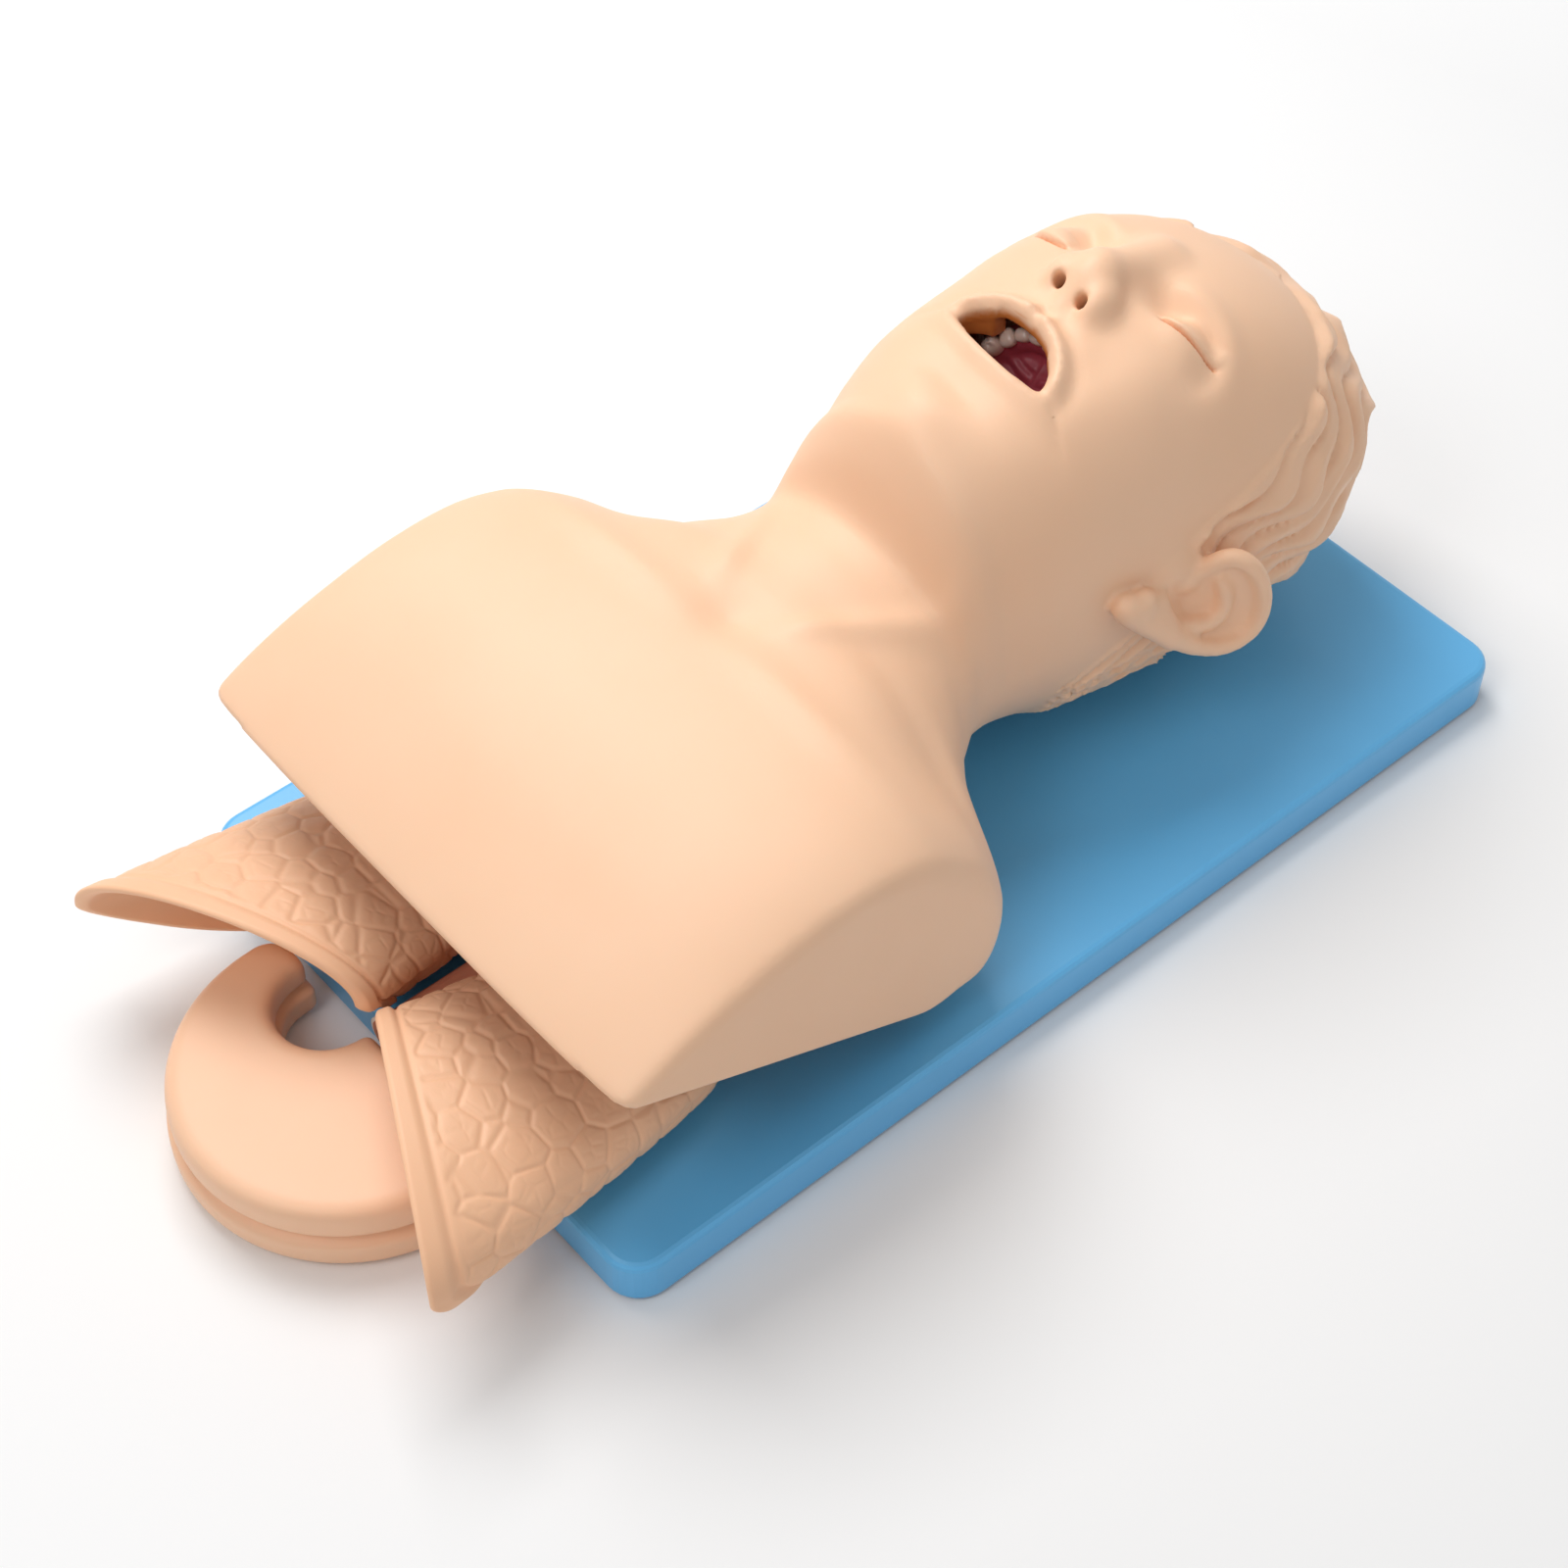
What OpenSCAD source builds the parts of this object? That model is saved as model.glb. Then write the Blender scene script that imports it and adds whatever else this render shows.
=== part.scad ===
// Intubation training manikin: a hollow soft head and torso on a moulded board,
// with jaws, throat, windpipe and gullet inside, and two lungs and a stomach outside.
// Millimetres. The origin is under the middle of the board, +Y towards the crown, +Z up.

/* [Board] */
// Length of the board
board_l = 480; // [460:1:520]
// Width of the board
board_w = 282; // [272:1:310]
// Height of the board's top above the table
board_top = 22; // [20:0.5:26]
// Radius of the board's corners
board_r = 15; // [10:0.5:24]
// Rounding of the board's top edge
board_edge = 3; // [1.5:0.5:5]
// Wall of the board's moulding
board_wall = 3; // [2.5:0.5:4]
// Height of the ribs under the board
rib_h = 9; // [6:0.5:12]
// Diameter of a rubber foot
foot_d = 18; // [15:0.5:22]
// Height of a rubber foot below the board
foot_h = 2; // [1.5:0.5:3]

/* [Skin] */
// Width of the torso between the two flat arm faces
chest_w = 260; // [254:1:270]
// Height of the breast above the board
chest_h = 128; // [124:1:132]
// Width of the neck
neck_w = 120; // [116:1:126]
// Width of the head over the temples
head_w = 158; // [154:1:166]
// Height of the face above the board
face_h = 187; // [184:1:191]
// Length of the head from the chin to the crown
head_l = 254; // [250:1:260]
// Wall of the soft skin
skin_t = 3.5; // [3:0.25:4]
// Slope of the open underside of the torso, in degrees
rim_slope = 25.5; // [24:0.5:27]
// Width of the open mouth
mouth_w = 52; // [48:1:56]
// Height of the open mouth
mouth_h = 21; // [18:1:23]
// Diameter of a nostril
nostril_d = 7; // [6:0.25:8]
// Distance between the middles of the nostrils
nostril_gap = 15; // [14:0.5:17]
// Length of the ear
ear_l = 66; // [60:1:70]

/* [Jaws] */
// Width over the outer faces of the skull frame's side plates
frame_w = 96; // [94:1:100]
// Thickness of the skull frame's plates
plate_t = 4; // [3.5:0.25:4.5]
// Diameter of a jaw pivot pin
pin_d = 6; // [5:0.25:7]
// Running clearance of a pin in its bore, on the radius
pin_clear = 0.05; // [0.03:0.01:0.08]
// Width of the dental arch
arch_w = 54; // [50:1:58]
// Width of a front tooth
tooth_w = 8; // [7:0.25:9]
// Height of a tooth above the gum
tooth_h = 8; // [6:0.5:9]

/* [Airway] */
// Bore of the throat
throat_d = 30; // [28:0.5:32]
// Wall of the soft tubes
tube_t = 2.5; // [2:0.25:3]
// Bore of the windpipe
windpipe_d = 16; // [15:0.5:17]
// Bore of the gullet
gullet_d = 12; // [11:0.5:13]
// Bore of a branch to a lung
branch_d = 10; // [9:0.5:11]
// Length of the windpipe
windpipe_l = 110; // [104:1:116]
// Distance between two rings of the windpipe
ring_pitch = 7; // [6:0.25:8]

/* [Lungs and stomach] */
// Width of a lung at its base
lung_w = 116; // [112:1:118]
// Height of a lung above the board
lung_h = 56; // [52:1:60]
// Depth of the hollow in a lung's base
lung_hollow = 40; // [30:1:46]
// Width of the stomach
stomach_w = 142; // [134:1:148]
// Thickness of the stomach
stomach_h = 34; // [30:1:36]
// Width of the bay between the stomach's two arms
bay_w = 42; // [36:1:46]

/* [Screws] */
// Thread diameter of the screws
screw_d = 4; // [3.5:0.25:4.5]
// Diameter of a screw's head
screw_head_d = 7.5; // [7:0.25:8.5]

/* [Hidden] */
$fn = 40;
eps = 0.01;

// Lands: where one soft solid lies on another a small gap keeps them apart
seat_gap = 0.3;

chest_half = chest_w / 2;
neck_half = neck_w / 2;
head_half = head_w / 2;
chin_y = 0;
collar_y = -42;
rim_y = -66;
rim_z = board_top + 7;
open_end_y = -262;

// Stations of the skin: place along Y, half width, top, bottom, level of the widest point,
// and how square the section is above and below that level (2 is an ellipse)
function chest_z(f) = board_top + f * chest_h;
function head_z(f) = board_top + f * face_h;
function head_y(f) = chin_y + f * head_l;
function up(h) = board_top + h;
skin_stations = [
    [open_end_y, 1.32 * chest_half, chest_z(0.55), up(-12), up(18), 4.6, 3],
    [-240, 1.29 * chest_half, chest_z(0.66), up(-10), up(22), 4.6, 3],
    [-220, 1.27 * chest_half, chest_z(0.76), up(-8), up(28), 4.6, 3],
    [-200, 1.23 * chest_half, chest_z(0.84), up(-6), up(34), 4.6, 3],
    [-175, 1.18 * chest_half, chest_z(0.92), up(-4), up(38), 4.6, 3.2],
    [-145, 1.15 * chest_half, chest_z(0.98), up(-2), up(40), 4.8, 3.4],
    [-115, 1.14 * chest_half, chest_z(1), up(-1), up(42), 4.6, 3.4],
    [-90, 1.12 * chest_half, chest_z(1), up(0.4), up(44), 3.7, 3.2],
    [-70, 1.08 * chest_half, chest_z(0.99), up(0.4), up(44), 2.8, 3.2],
    [-55, 1.04 * chest_half, chest_z(0.99), up(0.4), up(44), 2.2, 3.4],
    [collar_y, 0.94 * chest_half, chest_z(0.99), up(0.4), up(46), 1.7, 2.5],
    [-28, 0.69 * chest_half, chest_z(1), up(8), up(52), 1.8, 2.2],
    [-16, 1.2 * neck_half, chest_z(1.01), up(16), up(60), 2, 2.1],
    [-8, 1.1 * neck_half, chest_z(1.05), up(19), up(64), 2.1, 2],
    [head_y(0), 1.03 * neck_half, head_z(0.83), up(20), up(69), 2.2, 2],
    [head_y(0.03), 1.02 * neck_half, head_z(0.9), up(20), up(72), 2.3, 2],
    [head_y(0.065), 0.78 * head_half, head_z(0.925), up(18), up(75), 2.3, 2],
    [head_y(0.12), 0.83 * head_half, head_z(0.955), up(14), up(80), 2.4, 2],
    [head_y(0.2), 0.9 * head_half, head_z(0.985), up(8), up(84), 2.45, 2.1],
    [head_y(0.3), 0.94 * head_half, head_z(1), up(3.5), up(86), 2.45, 2.1],
    [head_y(0.4), 0.97 * head_half, head_z(1), up(0.5), up(87), 2.4, 2.1],
    [head_y(0.51), head_half, head_z(0.995), up(0.5), up(86), 2.4, 2.1],
    [head_y(0.61), head_half, head_z(0.975), up(1.5), up(84), 2.4, 2.1],
    [head_y(0.69), 0.99 * head_half, head_z(0.93), up(7), up(83), 2.3, 2.1],
    [head_y(0.75), 0.95 * head_half, head_z(0.88), up(14), up(82), 2.2, 2.1],
    [head_y(0.81), 0.88 * head_half, head_z(0.81), up(23), up(81), 2.1, 2.1],
    [head_y(0.87), 0.77 * head_half, head_z(0.725), up(34), up(81), 2, 2],
    [head_y(0.925), 0.6 * head_half, head_z(0.625), up(48), up(81), 2, 2],
    [head_y(0.965), 0.42 * head_half, head_z(0.54), up(61), up(81), 2, 2],
    [head_y(0.992), 0.2 * head_half, head_z(0.475), up(73), up(81), 2, 2]
];

// Places on the face, from the chin and along the head
mouth_y = head_y(0.26);
nose_y = head_y(0.43);
nostril_y = head_y(0.39);
eye_y = head_y(0.505);
eye_x = 37;
ear_y = head_y(0.37);
lip_z = head_z(1.01);

// Jaw mechanism
pivot_y = head_y(0.36);
pivot_z = up(96);
plate_x = frame_w / 2 - plate_t;
ramus_gap = 0.6;
ramus_t = 5;
jaw_close = 12;
palate_y = head_y(0.33);
gum_top_z = head_z(0.94);
arch_d = 50;
gum_h = 9;
lower_gum_y = head_y(0.175);

// Airway levels and places
throat_level = up(70);
throat_bend = 26;
throat_top_y = head_y(0.275);
throat_top_z = up(116);
throat_end_y = throat_top_y - throat_bend - 28;
larynx_l = 34;
windpipe_z = throat_level + 8;
gullet_z = throat_level - 13;
larynx_end_y = throat_end_y - larynx_l;
windpipe_end_y = larynx_end_y - windpipe_l;
stand_y = -112;
cradle_y = -56;
skull_foot_z = up(2) + skin_t;

// Lungs
lung_medial_x = 3;
lung_apex_y = -158;
lung_base_y = -250;
lung_splay = 0.5;
lung_scoop = 26;
lung_rest_z = board_top + seat_gap;

// Smooth curve through a column of the station table
function slope_at(t, i, c) =
    let (a = max(i - 1, 0), b = min(i + 1, len(t) - 1)) (t[b][c] - t[a][c]) / (t[b][0] - t[a][0]);
function span_at(t, y, i = 0) = (i >= len(t) - 2 || y <= t[i + 1][0]) ? i : span_at(t, y, i + 1);
function curve_at(t, y, c) =
    let (i = span_at(t, y), h = t[i + 1][0] - t[i][0], u = min(max((y - t[i][0]) / h, 0), 1))
    (2 * pow(u, 3) - 3 * u * u + 1) * t[i][c] + (pow(u, 3) - 2 * u * u + u) * h * slope_at(t, i, c)
    + (3 * u * u - 2 * pow(u, 3)) * t[i + 1][c] + (pow(u, 3) - u * u) * h * slope_at(t, i + 1, c);

function hump(x, y, cx, cy, sx, sy) = exp(-pow((x - cx) / sx, 2) - pow((y - cy) / sy, 2));
function twin_hump(x, y, cx, cy, sx, sy) = hump(abs(x), y, cx, cy, sx, sy);
function ease(t) = let (u = min(max(t, 0), 1)) u * u * (3 - 2 * u);

// Height of the face's relief over the plain skin
function relief(x, y) =
    let (bridge = ease((y - nostril_y + 6) / 9) * ease((head_y(0.62) - y) / (head_y(0.62) - nose_y)),
         tip = hump(x, y, 0, nose_y - 3, 10, 10))
    9 * bridge * exp(-pow(x / 9, 2)) + 8 * tip
    + 7 * ease((y - nostril_y + 7) / 7) * twin_hump(x, y, 12, nostril_y + 4, 6, 8)
    - 6 * twin_hump(x, y, eye_x - 10, eye_y + 4, 13, 9)
    + 3 * twin_hump(x, y, eye_x, eye_y - 1, 12, 7)
    + 3 * twin_hump(x, y, 28, eye_y + 22, 22, 8)
    + 3 * twin_hump(x, y, 48, nostril_y + 5, 16, 15)
    + 4 * hump(x, y, 0, mouth_y + mouth_h / 2 + 4, mouth_w / 2, 5)
    + 4 * hump(x, y, 0, mouth_y - mouth_h / 2 - 3, mouth_w / 2.4, 5)
    - 4 * hump(x, y, 0, mouth_y - mouth_h / 2 - 16, 20, 7)
    + 4 * hump(x, y, 0, head_y(0.07), 18, 12)
    - 9 * twin_hump(x, y, 92, collar_y - 8, 24, 17)
    - 4 * hump(x, y, 0, -74, 14, 12)
    + 2.5 * twin_hump(x, y, 60, -84 + 0.15 * abs(x), 46, 8);

// Waves of hair over the crown and the back of the head
function hair(a, y) =
    1.6 * ease((y - head_y(0.5) - 34 * sin(a)) / 12) * ease((sin(a) + 0.95) / 0.4)
    * sin(4 * y + 300 * sin(2 * a)) * sin(9 * a);

// One ring of the skin at y, drawn in by d for the inside of the wall
function flat_side(x, half) =
    let (r = 3, h = min(max(0.5 - 0.5 * (abs(x) - half) / r, 0), 1))
    sign(x) * (half * (1 - h) + abs(x) * h - r * h * (1 - h));
// Six values of the section at y; the wall d is measured square to the sloping surface
function slope_of(y, c) = (curve_at(skin_stations, y + 1, c) - curve_at(skin_stations, y - 1, c)) / 2;
function wall_at(y, c, d) = d * norm([1, slope_of(y, c)]);
function section_at(y, d) =
    [curve_at(skin_stations, y, 1) - min(wall_at(y, 1, d), 2.5 * d),
     curve_at(skin_stations, y, 2) - wall_at(y, 2, d),
     curve_at(skin_stations, y, 3) + min(wall_at(y, 3, d), 2.5 * d),
     for (c = [4:6]) curve_at(skin_stations, y, c)];
function ring_point(y, f, a, d, fine) =
    let (hw = f[0], zt = f[1], zb = f[2], zc = f[3], e = sin(a) >= 0 ? f[4] : f[5],
         x = flat_side(hw * sign(cos(a)) * pow(abs(cos(a)), 2 / e), chest_half + 0.75 - d),
         up = sign(sin(a)) * pow(abs(sin(a)), 2 / e),
         z = zc + (sin(a) >= 0 ? zt - zc : zc - zb) * up,
         w = ease(2 * sin(a)), lift = fine ? relief(x, y) * w : min(relief(x, y) * w, 0),
         curl = fine ? hair(a, y) : 0)
    [x + curl * cos(a), y, z + lift + curl * sin(a)];

// Angles round a ring, closer together over the face
skin_sides = 50;
function ring_angle(i, n) = let (t = 360 * i / n) t + 14 * sin(2 * (t - 90)) * (t > 0 && t < 180 ? -1 : 0);
function skin_ring(y, n, d, fine) =
    let (f = section_at(y, d)) [for (i = [0:n - 1]) ring_point(y, f, ring_angle(i, n), d, fine)];

// Skins a list of rings; a looped list closes on itself and needs no caps
module loft(rings, looped = false) {
    n = len(rings[0]);
    m = len(rings);
    caps = looped ? [] : [[for (i = [n - 1:-1:0]) i], [for (i = [0:n - 1]) (m - 1) * n + i]];
    polyhedron(points = [for (r = rings) each r], faces = concat(caps,
        [for (j = [0:m - (looped ? 1 : 2)]) for (i = [0:n - 1]) let (k = (i + 1) % n, t = (j + 1) % m)
            each [[j * n + i, j * n + k, t * n + k], [j * n + i, t * n + k, t * n + i]]]));
}
function backwards(v) = [for (i = [len(v) - 1:-1:0]) v[i]];

// Rings of a round tube along a route in a plane of constant x or a slanted one, with mitred corners
function unit(v) = v / norm(v);
function route_dir(p, i) =
    unit((i > 0 ? unit(p[i] - p[i - 1]) : [0, 0, 0]) + (i < len(p) - 1 ? unit(p[i + 1] - p[i]) : [0, 0, 0]));
function mitre(p, i) = (i == 0 || i == len(p) - 1) ? 1
    : 1 / max(0.5, unit(p[i] - p[i - 1]) * route_dir(p, i));
function tube_ring(p, i, d, n) =
    let (t = route_dir(p, i), u = unit(cross(t, [1, 0, 0])), v = cross(t, u), k = mitre(p, i))
    [for (j = [0:n - 1]) p[i] + d / 2 * (cos(360 * j / n) * v + k * sin(360 * j / n) * u)];
module tube(route, outer, bore, n = 20) loft(concat(
    [for (i = [0:len(route) - 1]) tube_ring(route, i, outer, n)],
    [for (i = [len(route) - 1:-1:0]) tube_ring(route, i, bore, n)]), true);
module rod(route, d, n = 20) loft([for (i = [0:len(route) - 1]) tube_ring(route, i, d, n)]);

outer_y = concat([for (y = [open_end_y:22:-86]) y], [for (y = [-78:9:-14]) y], [-8, -3, 1, 5, 10],
                 [for (f = [0.065:0.023:0.64]) head_y(f)], [for (f = [0.67:0.035:0.96]) head_y(f)],
                 [head_y(0.975), head_y(0.99)]);
inner_y = concat([for (y = [open_end_y - 5:30:-86]) y], [for (y = [-72:11:-14]) y], [-10, -4, 0, 4, 8, 14],
                 [for (f = [0.1:0.07:0.9]) head_y(f)], [head_y(0.94), head_y(0.965)]);

module skin_outer() loft([for (y = outer_y) skin_ring(y, skin_sides, 0, true)]);
module skin_inner() loft([for (y = inner_y) skin_ring(y, 32, skin_t, false)]);

// Everything below the sloping rim of the torso
module below_rim()
    translate([0, rim_y, rim_z]) rotate([-rim_slope, 0, 0])
        translate([-200, -260, -200]) cube([400, 260, 200]);

module mouth_cut()
    translate([0, mouth_y, lip_z - 45]) linear_extrude(70)
        scale([1, mouth_h / mouth_w]) circle(d = mouth_w, $fn = 36);

module nostril_cuts()
    for (s = [-1, 1]) translate([s * nostril_gap / 2, nostril_y - 14, lip_z + 4]) rotate([-100, 0, 0])
        cylinder(d = nostril_d, h = 34, $fn = 20);

// The ear's rim and folds are chains of hulled balls on a dished plate
function ear_point(t) = let (a = 200 - 310 * t) [ear_l * 0.3 * cos(a) , ear_l * 0.47 * sin(a)];
module ear(s) {
    steps = 9;
    translate([s * (head_half - 6), ear_y, up(77)]) rotate([0, s * 16, 0]) {
        for (i = [0:steps - 1]) hull() for (t = [i / steps, (i + 1) / steps]) let (p = ear_point(t))
            translate([s * (9 + 4 * t), p[1] + 2, p[0]]) sphere(d = 8 - 2 * t, $fn = 10);
        hull() for (y = [-0.24, 0.2]) translate([s * 3, y * ear_l, 0]) scale([0.6, 1, 0.8])
            sphere(d = 24, $fn = 16);
    }
}

module body_skin() color("bisque") difference() {
    union() {
        difference() {
            skin_outer();
            below_rim();
        }
        ear(-1);
        ear(1);
    }
    skin_inner();
    at_skull_screws() cylinder(d = screw_d + 0.6, h = skull_foot_z + 4, $fn = 16);
    at_cradle_screws() cylinder(d = screw_d + 0.6, h = cradle_z + 4, $fn = 16);
    mouth_cut();
    nostril_cuts();
}

// A plate with rounded corners and a rounded top edge
module rounded_slab(l, w, h, r, edge)
    hull() for (x = [-1, 1], y = [-1, 1]) translate([x * (w / 2 - r), y * (l / 2 - r), 0]) {
        cylinder(r = r, h = h - edge, $fn = 32);
        for (a = [30, 60, 90]) cylinder(r = r - edge * (1 - cos(a)), h = h - edge * (1 - sin(a)), $fn = 32);
    }

foot_x = board_w / 2 - 26;
foot_ys = [-(board_l / 2 - 26), 0, board_l / 2 - 26];
module at_feet() for (x = [-foot_x, foot_x], y = foot_ys) translate([x, y, 0]) children();

skull_screw_ys = [head_y(0.41), head_y(0.51)];
module at_skull_screws() for (y = skull_screw_ys) translate([0, y, 0]) children();
cradle_screw_x = 34;
module at_cradle_screws() for (x = [-1, 1]) translate([x * cradle_screw_x, cradle_y, 0]) children();
stand_screw_x = 20;
module at_stand_screws() for (x = [-1, 1]) translate([x * stand_screw_x, stand_y, 0]) children();

boss_d = screw_head_d + 6;
// Depth from the board's top at which a screw's head seats in its boss
head_seat = board_wall + 2;

module base_board() color("#5aaee0") difference() {
    union() {
        difference() {
            translate([0, 0, foot_h])
                rounded_slab(board_l, board_w, board_top - foot_h, board_r, board_edge);
            translate([0, 0, foot_h - eps]) linear_extrude(board_top - board_wall - foot_h + eps)
                board_pocket(board_w / 2 - board_wall, board_l / 2 - board_wall,
                             0.6 * (board_r - board_wall));
        }
        intersection() {
            union() {
                for (x = [-board_w / 4, 0, board_w / 4])
                    translate([x - board_wall / 2, -board_l / 2 + 1, board_top - board_wall - rib_h])
                        cube([board_wall, board_l - 2, rib_h + 1]);
                for (y = [-board_l / 3, -board_l / 6, board_l / 6, board_l / 3])
                    translate([-board_w / 2 + 1, y - board_wall / 2, board_top - board_wall - rib_h])
                        cube([board_w - 2, board_wall, rib_h + 1]);
            }
            translate([-board_w / 2 + 1, -board_l / 2 + 1, foot_h])
                cube([board_w - 2, board_l - 2, board_top - foot_h - 1]);
        }
        at_feet() translate([0, 0, foot_h]) cylinder(d = foot_d + 2, h = board_top - foot_h - 1);
        translate([0, 0, foot_h]) cylinder(d = foot_d + 2, h = board_top - foot_h - 1);
        at_skull_screws() translate([0, 0, foot_h + 2]) cylinder(d = boss_d, h = board_top - foot_h - 3);
        at_cradle_screws() translate([0, 0, foot_h + 2]) cylinder(d = boss_d, h = board_top - foot_h - 3);
        at_stand_screws() translate([0, 0, foot_h + 2]) cylinder(d = boss_d, h = board_top - foot_h - 3);
    }
    at_feet() translate([0, 0, foot_h - 1]) cylinder(d = screw_d, h = 11);
    at_skull_screws() screw_way();
    at_cradle_screws() screw_way();
    at_stand_screws() screw_way();
}

// Plan of the hollow under the board, its corners cut off so that the wall stays whole round them
module board_pocket(x, y, cut) polygon([[x, y - cut], [x - cut, y], [cut - x, y], [-x, y - cut],
                                        [-x, cut - y], [cut - x, -y], [x - cut, -y], [x, cut - y]]);

// Clearance hole through the board's top with a wide way for the head from below
module screw_way() {
    translate([0, 0, -1]) cylinder(d = screw_d + 0.4, h = board_top + 2);
    translate([0, 0, -1]) cylinder(d = screw_head_d + 0.6, h = board_top - head_seat + 1);
}

// Six feet are screwed on, and a plain pad under the middle keeps the board from sagging
module rubber_feet() color("dimgray") {
    at_feet() difference() {
        cylinder(d = foot_d, h = foot_h);
        translate([0, 0, -1]) cylinder(d = screw_d, h = foot_h + 2);
        translate([0, 0, -1]) cylinder(d = screw_head_d + 0.4, h = 1.8);
    }
    cylinder(d = foot_d, h = foot_h);
}

// A pan-head screw that points up, with its head's bearing face at z = 0
module screw(l) difference() {
    union() {
        translate([0, 0, -2.2]) cylinder(d = screw_head_d, h = 2.2);
        translate([0, 0, -eps]) cylinder(d = screw_d, h = l + eps);
    }
    for (a = [0, 90]) rotate(a) translate([-0.5, -2.2, -3]) cube([1, 4.4, 2]);
}

module foot_screws() color("silver") at_feet() translate([0, 0, 0.8]) difference() {
    union() {
        translate([0, 0, -0.6]) cylinder(d = screw_head_d, h = 0.6);
        cylinder(d = screw_d, h = 10);
    }
    for (a = [0, 90]) rotate(a) translate([-0.5, -2.2, -1]) cube([1, 4.4, 0.7]);
}
module skull_screws() color("silver")
    at_skull_screws() translate([0, 0, board_top - head_seat])
        screw(skull_foot_z + 5 - board_top + head_seat);
module cradle_screws() color("silver")
    at_cradle_screws() translate([0, 0, board_top - head_seat]) screw(head_seat + 12);
module stand_screws() color("silver")
    at_stand_screws() translate([0, 0, board_top - head_seat]) screw(head_seat + 5);

// The skull frame: a foot, a post, a cross plate, two cheek plates and the wall behind the palate
post_half = 9;
cross_z = up(36);
cheek_top_z = head_z(0.845);
wall_y = palate_y + gum_h + 8;
module cheek_plate() {
    translate([plate_x, 0, 0]) rotate([90, 0, 90]) linear_extrude(plate_t) polygon([
        [pivot_y - 7, cross_z], [pivot_y + 28, cross_z], [pivot_y + 19, pivot_z - 6],
        [wall_y + plate_t, cheek_top_z], [wall_y - 4, cheek_top_z], [wall_y - 4, pivot_z + 20],
        [pivot_y - 6, pivot_z + 9], [pivot_y - 9, pivot_z],
        [pivot_y - 8, pivot_z - 8]]);
    translate([plate_x, pivot_y, pivot_z]) rotate([0, 90, 0]) cylinder(d = pin_d + 12, h = plate_t);
}
module skull_frame() color("lavender") difference() {
    union() {
        translate([-post_half, skull_screw_ys[0] - 8, skull_foot_z])
            cube([2 * post_half, skull_screw_ys[1] - skull_screw_ys[0] + 16, 5]);
        translate([-post_half, skull_screw_ys[0] - 4, skull_foot_z])
            cube([2 * post_half, 16, cross_z - skull_foot_z + 1]);
        translate([-frame_w / 2, pivot_y - 7, cross_z]) cube([frame_w, 35, plate_t]);
        cheek_plate();
        mirror([1, 0, 0]) cheek_plate();
        translate([-frame_w / 2, wall_y, throat_top_z + seat_gap])
            cube([frame_w, plate_t, cheek_top_z - throat_top_z - seat_gap]);
    }
    translate([-60, pivot_y, pivot_z]) rotate([0, 90, 0]) cylinder(d = pin_d + 2 * pin_clear, h = 120);
    at_skull_screws() translate([0, 0, skull_foot_z - 1]) cylinder(d = screw_d + 0.1, h = 7);
    translate([-12, pivot_y + 4, cross_z - 1]) cube([24, 8, plate_t + 2]);
}

// Horseshoe of a dental arch in plan: a half round front with two straight legs
function arc(r, from, to, n = 24) =
    [for (i = [0:n]) let (a = from + (to - from) * i / n) [r * cos(a), r * sin(a)]];
module arch_plan(w, leg, band) polygon(concat(
    [[w / 2, -leg]], arc(w / 2, 0, 180), [[-w / 2, -leg], [-w / 2 + band, -leg]],
    arc(w / 2 - band, 180, 0), [[w / 2 - band, -leg]]));
module arch_plate(w, leg) polygon(concat([[w / 2, -leg]], arc(w / 2, 0, 180), [[-w / 2, -leg]]));
// Lays a plan drawn in x and z at y = 0 and pulls it h towards +Y
module upright(h) translate([0, h, 0]) rotate([90, 0, 0]) linear_extrude(h) children();

arch_leg = arch_d - arch_w / 2;
upper_arch_z = gum_top_z - arch_w / 2;
gum_band = 13;
module upper_jaw() color("#a8444f") {
    translate([0, palate_y, upper_arch_z]) upright(gum_h + eps) arch_plan(arch_w, arch_leg, gum_band);
    translate([0, palate_y + gum_h, upper_arch_z])
        upright(wall_y - palate_y - gum_h) arch_plate(arch_w, arch_leg);
    for (i = [0:5]) translate([-arch_w / 2 + gum_band - 2, palate_y + gum_h, upper_arch_z + 8 - 6 * i])
        rotate([0, 90, 0]) cylinder(d = 2.4, h = arch_w - 2 * gum_band + 4);
}

// Teeth stand along the middle of the gum, seven on each side
function arch_place(s, r) = s < r * PI / 2
    ? let (a = s / r * 180 / PI) [r * sin(a), r * cos(a), a] : [r, -(s - r * PI / 2), 90];
tooth_r = arch_w / 2 - gum_band / 2;
module tooth(w)
    upright(tooth_h) offset(r = 1.8, $fn = 8) square([w - 4.2, gum_band * 0.55 - 3.6], center = true);
module tooth_row()
    for (s = [-1, 1], i = [0:6]) let (p = arch_place((i + 0.5) * tooth_w, tooth_r))
        translate([s * p[0], 0, p[1]]) rotate([0, s * p[2], 0]) tooth(i < 3 ? tooth_w : tooth_w + 1);
module upper_teeth() color("ivory") translate([0, palate_y - tooth_h, upper_arch_z]) tooth_row();

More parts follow.
